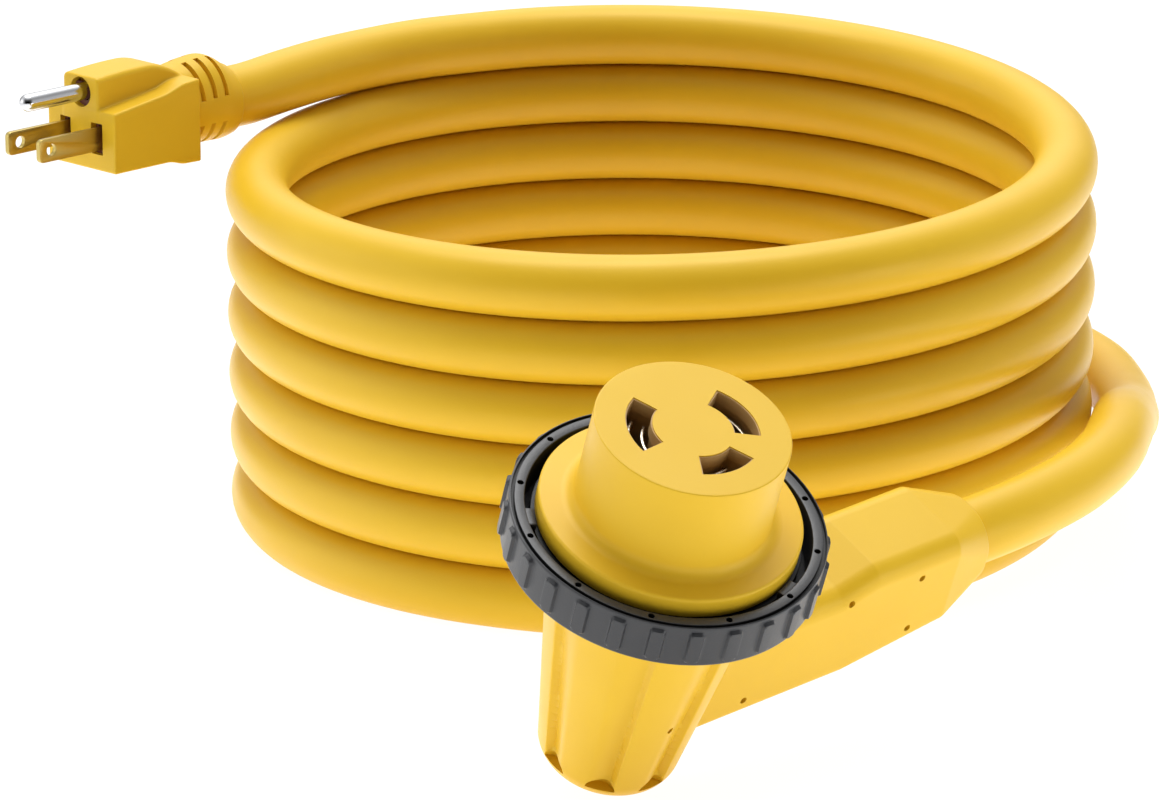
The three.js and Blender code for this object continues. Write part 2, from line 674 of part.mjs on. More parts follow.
function plugBody() {
	const sleeve = solid(skin(RELIEF_TAPER.map(reliefRing)));
	const cavity = block(
		[-CAVITY_END, -plugRoom, plugRoomBottom],
		[-PLUG_FACE_THICKNESS, plugRoom, plugRoomTop],
	);
	const towerCavity = block(
		[PLUG_WALL - CAVITY_END, -towerRoom, 0],
		[-PLUG_FACE_THICKNESS, towerRoom, towerRoomTop],
	);
	const passageEnd = -CAVITY_END - OVERCUT;
	const passage = block([passageEnd, -towerRoom, 0], [-bridgeBack, towerRoom, pinLevel]);
	const halfWidth = BLADE_THICKNESS / 2 + WINDOW_ROOM;
	const halfHeight = BLADE_WIDTH / 2 + WINDOW_HEAD;
	const windows = [-bladeInset, bladeInset].map((y) => block(
		[-PLUG_FACE_THICKNESS - GAP, y - halfWidth, BLADE_LEVEL - halfHeight],
		[OVERCUT, y + halfWidth, BLADE_LEVEL + halfHeight],
	));
	const pinRoom = pinRadius + PIN_WINDOW_ROOM;
	const pinWindow = barAlongX(pinRoom, -bridgeFront, OVERCUT, 0, pinLevel);
	const bore = barAlongX(cordBore, -plugEnd - OVERCUT, OVERCUT - CAVITY_END, 0, RELIEF_LEVEL);
	const whole = cut(join(plugBlock(), plugTower(), sleeve), ...reliefSlots());
	return cut(whole, cavity, towerCavity, passage, ...windows, pinWindow, bore);
}

function plugBridge() {
	const room = plugRoom - GAP;
	const tower = towerRoom - GAP;
	const body = join(
		block([-bridgeBack, -room, plugRoomBottom + GAP], [-bridgeFront, room, plugRoomTop - GAP]),
		block([-bridgeBack, -tower, 0], [-bridgeFront, tower, towerRoomTop - GAP]),
	);
	const halfWidth = BLADE_THICKNESS / 2 + GAP;
	const halfHeight = BLADE_WIDTH / 2 + GAP;
	const slots = [-bladeInset, bladeInset].map((y) => block(
		[-bridgeBack - OVERCUT, y - halfWidth, BLADE_LEVEL - halfHeight],
		[0, y + halfWidth, BLADE_LEVEL + halfHeight],
	));
	const pinHole = barAlongX(pinRadius + GAP, -bridgeBack - OVERCUT, 0, 0, pinLevel);
	return cut(body, ...slots, pinHole);
}

function blade(y) {
	const half = BLADE_WIDTH / 2;
	const start = CRIMP_LENGTH - CRIMP_LAP - PRONG_TAIL;
	const shape = outline([
		[start, -half],
		[BLADE_REACH - BLADE_CHAMFER, -half],
		[BLADE_REACH, BLADE_CHAMFER - half],
		[BLADE_REACH, half - BLADE_CHAMFER],
		[BLADE_REACH - BLADE_CHAMFER, half],
		[start, half],
	]);
	const hole = new THREE.Path();
	hole.absarc(BLADE_REACH - BLADE_HOLE_INSET, 0, BLADE_HOLE / 2, 0, 2 * PI, true);
	shape.holes.push(hole);
	const strip = plateGeometry(shape, -BLADE_THICKNESS / 2, BLADE_THICKNESS / 2, FINE_ROUND);
	strip.rotateX(PI / 2).translate(0, y, BLADE_LEVEL);
	const crimp = barAlongX(CRIMP_RADIUS, -PRONG_TAIL, CRIMP_LENGTH - PRONG_TAIL, y, BLADE_LEVEL);
	return join(solid(strip), crimp);
}

function groundPin() {
	const tip = [0, 1, 2, 3].map((i) => {
		const angle = (i / 3) * (PI / 2);
		return [pinRadius * cos(angle), BLADE_REACH - pinRadius * (1 - sin(angle))];
	});
	const points = [[0, -PRONG_TAIL], [pinRadius, -PRONG_TAIL], ...tip];
	const profile = points.map(([reach, x]) => new THREE.Vector2(reach, x));
	const pin = new THREE.LatheGeometry(profile, SMALL_ROUND).rotateZ(-PI / 2);
	return solid(pin.translate(0, 0, pinLevel));
}

const plugCordEnd = () => barAlongX(cordRadius, GAP - plugEnd, -PLUG_STRIP, 0, RELIEF_LEVEL);

// A conductor from the stripped cord in the plug to the tail of its prong.
function plugWire(y, z, bearing) {
	const [across, rise] = conductorAt(bearing);
	const level = RELIEF_LEVEL + rise;
	const start = GAP - PLUG_STRIP;
	const end = -PRONG_TAIL - GAP;
	const lead = CONDUCTOR_DIAMETER / 3;
	const curve = throughPoints([
		new THREE.Vector3(start, across, level),
		new THREE.Vector3(start + lead, across, level),
		new THREE.Vector3((start + end) / 2, (across + y) / 2, (level + z) / 2),
		new THREE.Vector3(end - lead, y, z),
		new THREE.Vector3(end, y, z),
	]);
	return tube(curve, conductorRadius, FINE_ROUND, 10);
}

const plug = new THREE.Group();
piece(plug, 'plug_body', plugBody(), YELLOW_VINYL);
piece(plug, 'plug_bridge', plugBridge(), BROWN_INSULATOR);
piece(plug, 'blade_neutral', blade(-bladeInset), BRASS);
piece(plug, 'blade_line', blade(bladeInset), BRASS);
piece(plug, 'ground_pin', groundPin(), NICKEL);
piece(plug, 'plug_cord_end', plugCordEnd(), YELLOW_VINYL);
const plugWires = [
	['ground', 0, pinLevel, PI / 2],
	['line', bladeInset, BLADE_LEVEL, -PI / 6],
	['neutral', -bladeInset, BLADE_LEVEL, (-5 * PI) / 6],
];
for (const [name, y, z, bearing] of plugWires) {
	piece(plug, `plug_wire_${name}`, plugWire(y, z, bearing), WIRE_LOOKS[name]);
}
plug.rotation.z = PLUG_BEARING;
plug.position.set(...PLUG_PLACE);
plug.updateMatrixWorld(true);

// ------------------------------------------------------------------- cord

// A direction or point of the coil's own frame, turned to how the coil leans.
function leaned(vector) {
	return vector.applyAxisAngle(new THREE.Vector3(1, 0, 0), COIL_LEAN);
}

// The centre line, by the angle swept from its lowest point.
function coilPoint(sweep) {
	const bearing = COIL_START + sweep;
	const height = COIL_LOW_POINT + (coilPitch * sweep) / (2 * PI);
	const point = new THREE.Vector3(COIL_RADIUS * cos(bearing), COIL_RADIUS * sin(bearing), height);
	return leaned(point).add(COIL_FOOT);
}

function coilHeading(sweep) {
	const bearing = COIL_START + sweep;
	const climb = coilPitch / (2 * PI * COIL_RADIUS);
	return leaned(new THREE.Vector3(-sin(bearing), cos(bearing), climb)).normalize();
}

function coilOutward(sweep) {
	const bearing = COIL_START + sweep;
	return leaned(new THREE.Vector3(cos(bearing), sin(bearing), 0));
}

// Six corners round a point of the coil. The flats face the turns above and below, and the
// section has the area of the round cord. It is flattened where it rests on the floor.
function coilRing(centre, sweep, above = leaned(new THREE.Vector3(0, 0, 1))) {
	const side = (PI * cordRadius) / 3;
	const outward = coilOutward(sweep);
	const corners = [[1, 0], [0.5, 1], [-0.5, 1], [-1, 0], [-0.5, -1], [0.5, -1]];
	return corners.map(([across, rise]) => {
		const corner = centre.clone();
		corner.addScaledVector(outward, across * side).addScaledVector(above, rise * cordRadius);
		corner.z = Math.max(corner.z, 0);
		return corner;
	});
}

// The straight stretch, one cord diameter long, that leads out of an end of the coil.
function coilLead(sweep, way) {
	return coilPoint(sweep).addScaledVector(coilHeading(sweep), way * CORD_DIAMETER);
}

// The end face of such a stretch, square to it.
function coilLeadRing(centre, sweep) {
	const above = new THREE.Vector3().crossVectors(coilOutward(sweep), coilHeading(sweep));
	return coilRing(centre, sweep, above);
}

const coilSteps = Math.round(COIL_SWEEP / COIL_STEP);
const coilSweeps = Array.from({ length: coilSteps + 1 }, (_, i) => (i * COIL_SWEEP) / coilSteps);
const coilTurns = coilSweeps.map((sweep) => coilRing(coilPoint(sweep), sweep));
const coilLow = coilLead(0, -1);
const coilHigh = coilLead(COIL_SWEEP, 1);
const coilRings = [coilLeadRing(coilLow, 0), ...coilTurns, coilLeadRing(coilHigh, COIL_SWEEP)];

// The least distance between points of the coil's skin that lie half a turn or more apart.
function leastTurnGap() {
	const points = coilRings.map((ring) => ring.flatMap((corner, i) => {
		const next = ring[(i + 1) % ring.length];
		return [corner, corner.clone().lerp(next, 0.5)];
	}));
	const halfTurn = Math.round(PI / COIL_STEP);
	let least = Infinity;
	points.forEach((near, i) => points.slice(i + halfTurn).forEach((far) => {
		near.forEach((p) => far.forEach((q) => {
			least = Math.min(least, hypot(p.x - q.x, p.y - q.y, p.z - q.z));
		}));
	}));
	return least;
}
console.log(`least gap between two turns of the coil: ${leastTurnGap().toFixed(3)} mm`);

// A free stretch of cord from one place to another, which it leaves and meets straight.
function freeCord(start, heading, points, end, endHeading) {
	const curve = throughPoints([
		start.clone().addScaledVector(heading, GAP),
		start.clone().addScaledVector(heading, CORD_DIAMETER),
		...points.map((place) => new THREE.Vector3(...place)),
		end.clone().addScaledVector(endHeading, -CORD_DIAMETER / 2),
		end.clone().addScaledVector(endHeading, -GAP),
	]);
	const steps = Math.round(curve.getLength() / (1.5 * CORD_DIAMETER));
	return tube(curve, cordRadius, 8, steps);
}

const armExit = connector.localToWorld(new THREE.Vector3(ARM_LENGTH - GAP, 0, cableLevel));
const armHeading = new THREE.Vector3(1, 0, 0).applyQuaternion(connector.quaternion);
const reliefExit = plug.localToWorld(new THREE.Vector3(GAP - plugEnd, 0, RELIEF_LEVEL));
const reliefHeading = new THREE.Vector3(1, 0, 0).applyQuaternion(plug.quaternion);
const loop = freeCord(armExit, armHeading, LOOP_POINTS, coilLow, coilHeading(0));
const tail = freeCord(coilHigh, coilHeading(COIL_SWEEP), TAIL_POINTS, reliefExit, reliefHeading);

const root = new THREE.Group();
root.add(connector, plug);
piece(root, 'cord_coil', solid(skin(coilRings)), YELLOW_VINYL);
piece(root, 'cord_loop', loop, YELLOW_VINYL);
piece(root, 'cord_tail', tail, YELLOW_VINYL);

// The origin: on the floor, under the middle of the connector.
const middle = new THREE.Box3().setFromObject(connector, true).getCenter(new THREE.Vector3());
root.position.set(-middle.x, -middle.y, 0);

export default root;
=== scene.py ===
import json
import math

import bpy
import numpy as np
from mathutils import Matrix, Vector


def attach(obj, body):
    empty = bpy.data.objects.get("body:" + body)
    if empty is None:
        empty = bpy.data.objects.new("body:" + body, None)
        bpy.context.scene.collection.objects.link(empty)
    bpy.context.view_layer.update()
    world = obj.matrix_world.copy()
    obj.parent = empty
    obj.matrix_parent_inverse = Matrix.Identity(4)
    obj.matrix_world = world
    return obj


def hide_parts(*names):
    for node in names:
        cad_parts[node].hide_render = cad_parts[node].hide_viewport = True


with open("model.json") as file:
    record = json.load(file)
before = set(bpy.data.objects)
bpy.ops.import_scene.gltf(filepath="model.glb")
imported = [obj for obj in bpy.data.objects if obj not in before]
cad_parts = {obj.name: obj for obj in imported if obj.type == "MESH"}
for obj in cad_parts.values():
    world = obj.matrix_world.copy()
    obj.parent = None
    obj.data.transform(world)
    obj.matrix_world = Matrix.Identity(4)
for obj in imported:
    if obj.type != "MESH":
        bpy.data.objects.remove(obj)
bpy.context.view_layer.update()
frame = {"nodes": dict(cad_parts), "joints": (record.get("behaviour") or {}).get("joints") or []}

# A shore power cord: an upright coil of heavy yellow cord, a grounded plug on its upper end and a
# right-angle locking connector on its lower end. Sizes are in millimetres, and each piece is made
# in the frame of what it belongs to: the connector's has the nose's face at the origin, +Z along
# the barrel's axis and +X along the cable arm; the plug's has its face at the origin and +X ahead.

MM = 0.001
rad = math.radians

# ------------------------------------------------------------------ sizes

CORD_DIAMETER = 16.5
SHOWN_RADIUS = 8.45  # the turns of the coil just touch
CORD_SIDES = 36
CORD_STEP = 4.5
CORD_INSET = 3.0  # how far the cord runs on into the arm and into the strain relief
COIL_STEP = rad(12.5)

COIL_RADIUS = 108.56
COIL_PITCH = 16.95
COIL_LEAN = rad(2.24)
COIL_FOOT = np.array((0, 3.66, 0.07))
COIL_START = rad(105)
COIL_SWEEP = rad(2175)
COIL_LOW_POINT = 4.3

NOSE_PLACE = np.array((3.83, -259.23, 99.715))
BARREL_LEAN = rad(26.45)
LEAN_BEARING = rad(-64.34)
ARM_BEARING = rad(39.95)
PLUG_PLACE = np.array((-155, -6.3, 108.5))
PLUG_BEARING = rad(225.2)

LOOP_POINTS = [
    (101.0, -132.8, 47.9), (111.9, -108.1, 48.3), (117.4, -81.8, 46.8), (120.8, -55.4, 42.1),
    (124.1, -29.4, 35.3), (126.4, -3.2, 29.3), (127.1, 23.7, 26.6), (123.5, 50.4, 26.6),
    (113.4, 75.4, 26.0), (96.7, 96.4, 23.0), (75.2, 112.0, 18.1), (50.3, 121.4, 13.2),
    (23.3, 122.6, 9.6),
]
TAIL_POINTS = [(-83.2, 73.9, 110.1), (-93.9, 60.3, 110.5), (-104.4, 46.2, 110.3)]

NOSE_RADIUS = 23.1
NOSE_HEIGHT = 24.6
FLANGE_RADIUS = 31.2
FLANGE_BOTTOM = -30.0
FACE_THICKNESS = 3.2
NOSE_BORE = 18.4
SPIGOT_RADIUS = 20.5
SPIGOT_BOTTOM = -44.3
SHOULDER = -34.7
SLOT_INNER, SLOT_OUTER = 9.5, 15.8
SLOTS = {"ground": (-35, 31), "neutral": (113, 185), "line": (-121, -66)}  # bearings, degrees
SLOT_DEPTH = 6.0
# The slot linings are thin brownish sheets of painted shade, standing for the yellow slot walls in
# shade.
SHADE_LINING_WALL = 0.3
SHADE_LINING_ROOM = 0.02  # between a painted-shade lining and the slot
SHADE_LINING_TOP, SHADE_LINING_BOTTOM = -0.3, -3.45
LIP_RADII = {"inner": 11.0, "outer": 14.2}
LIP_WALL = 0.9
LIP_TOP, LIP_BOTTOM = -4.6, -6.8
LIP_SHORT = 9  # degrees between the end of a slot and the end of a lip

RING_RADIUS = 37.6
RING_TOP = -27.4
RING_BOTTOM = -39.0
RIM_BORE = 33.9
CHANNEL_BOTTOM = -36.5  # of the channel between the rim and the flange
RIB_COUNT = 26
RIB_RISE = 0.9
RIB_HALF_WIDTH, RIB_HALF_HEIGHT = 1.75, 4.4
RIB_CORNER = 1.1
RIB_SLOPE = 0.28  # half the width of a rib's soft side
GROOVE_INNER, GROOVE_OUTER = 36.3, 37.15
GROOVE_DEPTH = 1.1
DIMPLE_COUNT = 12
DIMPLE_RADIUS = 0.8
DIMPLE_CIRCLE = 35.15
DIMPLE_DEPTH = 1.2
LUG_BEARINGS = (152.7, 41.0, -70.3)
LUG_HALF_ANGLE = 5
LUG_TOP, LUG_BOTTOM = -28.2, -30.2

BARREL_TOP_RADIUS = 27.1
BARREL_TAPER = 9.8 / 64
BARREL_BOTTOM = -105.3
BARREL_FILLET = 6.6
CHAMBER_FLOOR = -90.3
FLUTE_COUNT = 8
FLUTE_HALF_ANGLE = 11.25
FLUTE_DEPTH = 1.2  # at the shoulder
FLUTE_GROWTH = 0.9  # how much deeper a flute is at FLUTE_RUN below the shoulder
FLUTE_RUN = 62
SCOOP_BOTTOM = -100.2
SCOOP_HEIGHT = 3.4
SCOOP_REACH, SCOOP_HALF_WIDTH = 3.8, 3.7
CABLE_LEVEL = -74.7
CORD_BORE = 8.55

ARM_LENGTH = 105.3
ARM_TOP, ARM_BOTTOM = 10.85, -16.0  # from the middle of the cord, beside the barrel
ARM_FAR, ARM_NEAR = 12.3, -13.2
ARM_TOP_EDGE, ARM_LOW_EDGE = 4.9, 1.6
RISE_START, RISE_LENGTH, RISE = 54.0, 11.0, 3.2
BELLY_START, BELLY_LENGTH, BELLY = 60.0, 30.0, 4.4
TIP_START, TIP_LENGTH = 91.0, 14.3
SHELL_JOIN = 3.0  # fillet between the barrel and the arm
HOLE_RADIUS = 0.95
ARM_HOLES = [(56.8, -67.2), (79.4, -67.7), (79.4, -84.1), (28.0, -86.7)]  # along the arm, height
BARREL_HOLE_RADIUS = 0.9
BARREL_HOLE = (-2.5, -77.5)

PLUG_LENGTH = 30.6
PLUG_HALF_WIDTH = 13.6
RELIEF_LEVEL = 1.0
PLUG_END = 50.6
BLADE_INSET = 6.35
BLADE_LEVEL = -0.6
PIN_LEVEL = 11.3
PIN_RADIUS = 2.375
BLADE_REACH = 20.6
BLADE_HALF_HEIGHT = 3.175
BLADE_HALF_THICKNESS = 0.75
BLADE_CORNER = 1.3
BLADE_HOLE_RADIUS = 1.6
BLADE_HOLE_INSET = 4.1
BLADE_ROOT = -12
PIN_ROOT = -20
WINDOW_DEPTH = 3
WINDOW_HALF_WIDTH, WINDOW_HALF_HEIGHT = 2.2, 4.3
PIN_WINDOW_RADIUS = 4.1
TOWER_HALF_WIDTH = 7.0
TOWER_TOP = 16.7
TOWER_CREST = 17.5  # how far behind the plug's face the tower is highest
RELIEF_SLOTS_AT = (34.6, 38.8, 43.0)
RELIEF_SLOT_SPANS = ((10, 78), (102, 170), (205, 247), (293, 335))
RELIEF_SLOT_HALF_WIDTH = 0.8
RELIEF_SLOT_DEPTH = 1.5

# ---------------------------------------------------------------- frames

joint = frame["joints"][0]
shift = np.array(joint["pos_m"]) / MM - NOSE_PLACE
lean_axis = Vector((-math.sin(LEAN_BEARING), math.cos(LEAN_BEARING), 0))
WORLD = Matrix.Scale(MM, 4)
CONNECTOR = (
    Matrix.Translation(Vector(joint["pos_m"]))
    @ Matrix.Rotation(BARREL_LEAN, 4, lean_axis)
    @ Matrix.Rotation(ARM_BEARING, 4, "Z")
    @ WORLD
)
PLUG = (
    Matrix.Translation(Vector((PLUG_PLACE + shift) * MM))
    @ Matrix.Rotation(PLUG_BEARING, 4, "Z")
    @ WORLD
)


def placed(matrix, point):
    """A point of a local frame, in millimetres of the row frame."""
    return np.array(matrix @ Vector(point)) / MM


def heading(matrix, direction):
    return np.array((matrix.to_3x3() @ Vector(direction)).normalized())


# ---------------------------------------------------------------- camera

PHOTO_WIDTH = 1160  # px
FOCAL_LENGTH = 6042.9  # px of the photograph
SENSOR_WIDTH = 36.0
CAMERA_PLACE = (-0.04011, -1.35916, 0.48463)  # metres
CAMERA_ROLL = rad(-0.146)
VIEW_UP = Vector((0, 0.27557, 0.96128))
VIEW_BACK = Vector((0, -0.96128, 0.27557))
VIEW_RIGHT = Vector((1, 0, 0))

camera_data = bpy.data.cameras.new("camera")
camera = bpy.data.objects.new("camera", camera_data)
bpy.context.scene.collection.objects.link(camera)
camera_data.sensor_fit = "HORIZONTAL"
camera_data.sensor_width = SENSOR_WIDTH
camera_data.lens = SENSOR_WIDTH * FOCAL_LENGTH / PHOTO_WIDTH
camera_data.clip_end = 20.0
right = VIEW_RIGHT * math.cos(CAMERA_ROLL) + VIEW_UP * math.sin(CAMERA_ROLL)
up = VIEW_UP * math.cos(CAMERA_ROLL) - VIEW_RIGHT * math.sin(CAMERA_ROLL)
turned = Matrix((right, up, VIEW_BACK)).transposed().to_4x4()
camera.matrix_world = Matrix.Translation(CAMERA_PLACE) @ turned
bpy.context.scene.camera = camera

# ------------------------------------------------------------- materials


def nodes_of(name):
    material = bpy.data.materials.new(name)
    material.use_nodes = True
    tree = material.node_tree
    return material, tree, tree.nodes["Principled BSDF"]


def srgb(r, g, b):
    def linear(v):
        v /= 255
        return v / 12.92 if v <= 0.04045 else ((v + 0.055) / 1.055) ** 2.4

    return (linear(r), linear(g), linear(b), 1.0)


def noise(tree, coordinate, scale, detail, roughness=0.5):
    node = tree.nodes.new("ShaderNodeTexNoise")
    node.inputs["Scale"].default_value = scale
    node.inputs["Detail"].default_value = detail
    node.inputs["Roughness"].default_value = roughness
    tree.links.new(coordinate, node.inputs["Vector"])
    return node.outputs["Fac"]


def ramp(tree, factor, low, high, start=0.3, end=0.7):
    node = tree.nodes.new("ShaderNodeValToRGB")
    node.color_ramp.elements[0].position = start
    node.color_ramp.elements[0].color = low
    node.color_ramp.elements[1].position = end
    node.color_ramp.elements[1].color = high
    tree.links.new(factor, node.inputs["Fac"])
    return node.outputs["Color"]


def span(tree, factor, low, high):
    node = tree.nodes.new("ShaderNodeMapRange")
    node.inputs["To Min"].default_value = low
    node.inputs["To Max"].default_value = high
    tree.links.new(factor, node.inputs["Value"])
    return node.outputs["Result"]


GRAIN_DEPTH = 0.0002  # metres


def bump(tree, shader, height, strength, distance):
    node = tree.nodes.new("ShaderNodeBump")
    node.inputs["Strength"].default_value = strength
    node.inputs["Distance"].default_value = distance
    tree.links.new(height, node.inputs["Height"])
    tree.links.new(node.outputs["Normal"], shader.inputs["Normal"])


def moulded(name, shades, rough, grain, relief, specular=0.5, metallic=0.0, streak=None,
            tint=(1.0, 1.0, 1.0, 1.0)):
    """A moulded or pressed surface: two near shades in soft clouds, a fine grain, and a gloss that
    changes a little over it. streak stretches the grain along an axis, and tint colours the
    highlights."""
    material, tree, shader = nodes_of(name)
    coordinate = tree.nodes.new("ShaderNodeTexCoord").outputs["Object"]
    if streak:
        mapping = tree.nodes.new("ShaderNodeMapping")
        mapping.inputs["Scale"].default_value = streak
        tree.links.new(coordinate, mapping.inputs["Vector"])
        fine = mapping.outputs["Vector"]
    else:
        fine = coordinate
    clouds = noise(tree, coordinate, 28, 3)
    tree.links.new(ramp(tree, clouds, *shades), shader.inputs["Base Color"])
    gloss = noise(tree, coordinate, 90, 4)
    tree.links.new(span(tree, gloss, *rough), shader.inputs["Roughness"])
    bump(tree, shader, noise(tree, fine, grain, 4, 0.6), relief, GRAIN_DEPTH)
    shader.inputs["Metallic"].default_value = metallic
    shader.inputs["Specular IOR Level"].default_value = specular
    shader.inputs["Specular Tint"].default_value = tint
    return material


def shades(dark, light):
    return srgb(*dark), srgb(*light)


VINYL = shades((218, 175, 37), (222, 180, 41))
VINYL_SPECULAR = 0.38
WARM_GLOSS = (1.0, 0.9, 0.5, 1.0)  # the vinyl keeps its yellow in the highlights
YELLOW = moulded(
    "yellow_vinyl", VINYL, (0.36, 0.46), 1500, 0.12, specular=VINYL_SPECULAR, tint=WARM_GLOSS,
)
GREY = moulded(
    "ring_plastic", shades((40, 41, 44), (48, 49, 52)), (0.30, 0.40), 1400, 0.18, specular=0.4,
)
# Darker, rougher grey for the inside of the channel between rim and flange: painted shade in that
# recess.
RING_INSIDE_SHADE = moulded(
    "ring_inside_painted_shade", shades((20, 20, 22), (26, 26, 28)), (0.45, 0.55), 1300, 0.15, specular=0.3,
)
# Near-black painted shade for the ring's groove and dimples, hollows that the light barely
# reaches.
RING_HOLLOW_SHADE = moulded("ring_groove_painted_shade", shades((8, 8, 9), (14, 14, 15)), (0.5, 0.6), 1200, 0.1)
# Brown of the contact carrier, a real insulator; the slot linings use it too, as painted shade for
# the yellow slot walls.
BROWN_AND_SLOT_SHADE = moulded(
    "brown_insulator", shades((184, 148, 92), (198, 160, 100)), (0.5, 0.6), 1300, 0.2,
)
PLUG_BROWN = moulded(
    "plug_insulator", shades((104, 54, 42), (120, 64, 48)), (0.5, 0.6), 1300, 0.2,
)
BRASS = moulded(
    "blade_brass", shades((178, 158, 92), (196, 174, 104)), (0.28, 0.40), 900, 0.25,
    metallic=1.0, streak=(1.0, 1.0, 6.0),
)
CONTACT = moulded(
    "contact_metal", shades((206, 196, 176), (226, 216, 196)), (0.22, 0.34), 900, 0.2,
    metallic=1.0, streak=(1.0, 1.0, 6.0),
)
CHROME = moulded(
    "pin_metal", shades((196, 197, 200), (214, 215, 218)), (0.10, 0.18), 700, 0.08,
    metallic=1.0, streak=(6.0, 1.0, 1.0),
)


def wire_material(name, dark, light):
    return moulded(name, shades(dark, light), (0.4, 0.5), 900, 0.1)


GREEN_WIRE = wire_material("green_wire", (34, 112, 58), (40, 124, 66))
WHITE_WIRE = wire_material("white_wire", (222, 220, 212), (232, 230, 222))
BLACK_WIRE = wire_material("black_wire", (20, 20, 22), (28, 28, 30))


def cord_material():
    """Extruded vinyl: the clouds and grain of the moulded vinyl, drawn out along the cord."""
    material, tree, shader = nodes_of("cord_jacket")
    along = tree.nodes.new("ShaderNodeUVMap")
    along.uv_map = "along"
    mapping = tree.nodes.new("ShaderNodeMapping")
    mapping.inputs["Scale"].default_value = (60.0, 2.0, 1.0)
    tree.links.new(along.outputs["UV"], mapping.inputs["Vector"])
    lines = noise(tree, mapping.outputs["Vector"], 1.0, 3)
    coordinate = tree.nodes.new("ShaderNodeTexCoord").outputs["Object"]
    clouds = noise(tree, coordinate, 24, 3)
    tree.links.new(ramp(tree, clouds, *VINYL), shader.inputs["Base Color"])
    gloss = noise(tree, coordinate, 80, 4)
    tree.links.new(span(tree, gloss, 0.34, 0.44), shader.inputs["Roughness"])
    shader.inputs["Specular IOR Level"].default_value = VINYL_SPECULAR
    shader.inputs["Specular Tint"].default_value = WARM_GLOSS
    grain = noise(tree, coordinate, 1500, 3, 0.6)
    both = tree.nodes.new("ShaderNodeMath")
    both.operation = "MULTIPLY_ADD"
    tree.links.new(lines, both.inputs[0])
    both.inputs[1].default_value = 0.5
    tree.links.new(grain, both.inputs[2])
    bump(tree, shader, both.outputs["Value"], 0.1, GRAIN_DEPTH)
    return material


JACKET = cord_material()

# ---------------------------------------------------------------- meshes


def piece(name, vertices, faces, matrix, materials, body=None, sharp=35.0):
    """A new mesh object from points in a local frame."""
    mesh = bpy.data.meshes.new(name)
    mesh.from_pydata(np.asarray(vertices, float).tolist(), [], faces)
    mesh.transform(matrix)
    if matrix.determinant() < 0:
        mesh.flip_normals()
    mesh.validate()
    for material in materials:
        mesh.materials.append(material)
    thing = bpy.data.objects.new(name, mesh)
    bpy.context.scene.collection.objects.link(thing)
    smooth(thing, sharp)
    if body:
        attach(thing, body)
    return thing


def smooth(thing, sharp=35.0):
    thing.data.polygons.foreach_set("use_smooth", [True] * len(thing.data.polygons))
    thing.data.set_sharp_from_angle(angle=rad(sharp))


def applied(thing):
    """Bakes the object's modifiers into its mesh."""
    graph = bpy.context.evaluated_depsgraph_get()
    mesh = bpy.data.meshes.new_from_object(thing.evaluated_get(graph))
    thing.modifiers.clear()
    thing.data = mesh


def cut(thing, *tools):
    """Takes closed meshes out of a closed mesh, and removes them."""
    for tool in tools:
        modifier = thing.modifiers.new("cut", "BOOLEAN")
        modifier.operation = "DIFFERENCE"
        modifier.solver = "EXACT"
        modifier.object = tool
        applied(thing)
        bpy.data.objects.remove(tool)


def strip(rows, columns, wrap_rows=False, wrap_columns=True):
    """Quads between rows of points; each row has the same number of columns."""
    faces = []
    for row in range(rows if wrap_rows else rows - 1):
        a, b = row * columns, ((row + 1) % rows) * columns
        for column in range(columns if wrap_columns else columns - 1):
            c = (column + 1) % columns
            faces.append((a + column, a + c, b + c, b + column))
    return faces


def loft(rings):
    """Points and faces of a closed skin through rings, with flat ends."""
    rings = np.asarray(rings, float)
    rows, columns = rings.shape[:2]
    faces = strip(rows, columns)
    faces.append(tuple(range(columns))[::-1])
    faces.append(tuple(range((rows - 1) * columns, rows * columns)))
    return rings.reshape(-1, 3), faces


def lathe(profile, segments):
    """A closed body turned round Z from a closed profile of (radius, height) pairs that runs
    from the axis outward, over the body and back to the axis, or is a loop clear of it."""
    profile = [tuple(p) for p in profile]
    angles = np.arange(segments) * 2 * math.pi / segments
    vertices, rows = [], []
    for radius, height in profile:
        if radius < 1e-6:
            rows.append([len(vertices)])
            vertices.append((0, 0, height))
        else:
            rows.append(list(range(len(vertices), len(vertices) + segments)))
            vertices += [(radius * math.cos(a), radius * math.sin(a), height) for a in angles]
    faces = []
    for one, two in zip(rows, rows[1:] + rows[:1]):
        if len(one) == 1 and len(two) == 1:
            continue
        for i in range(segments):
            j = (i + 1) % segments
            if len(one) == 1:
                faces.append((one[0], two[i], two[j]))
            elif len(two) == 1:
                faces.append((one[i], two[0], one[j]))
            else:
                faces.append((one[i], two[i], two[j], one[j]))
    return vertices, faces


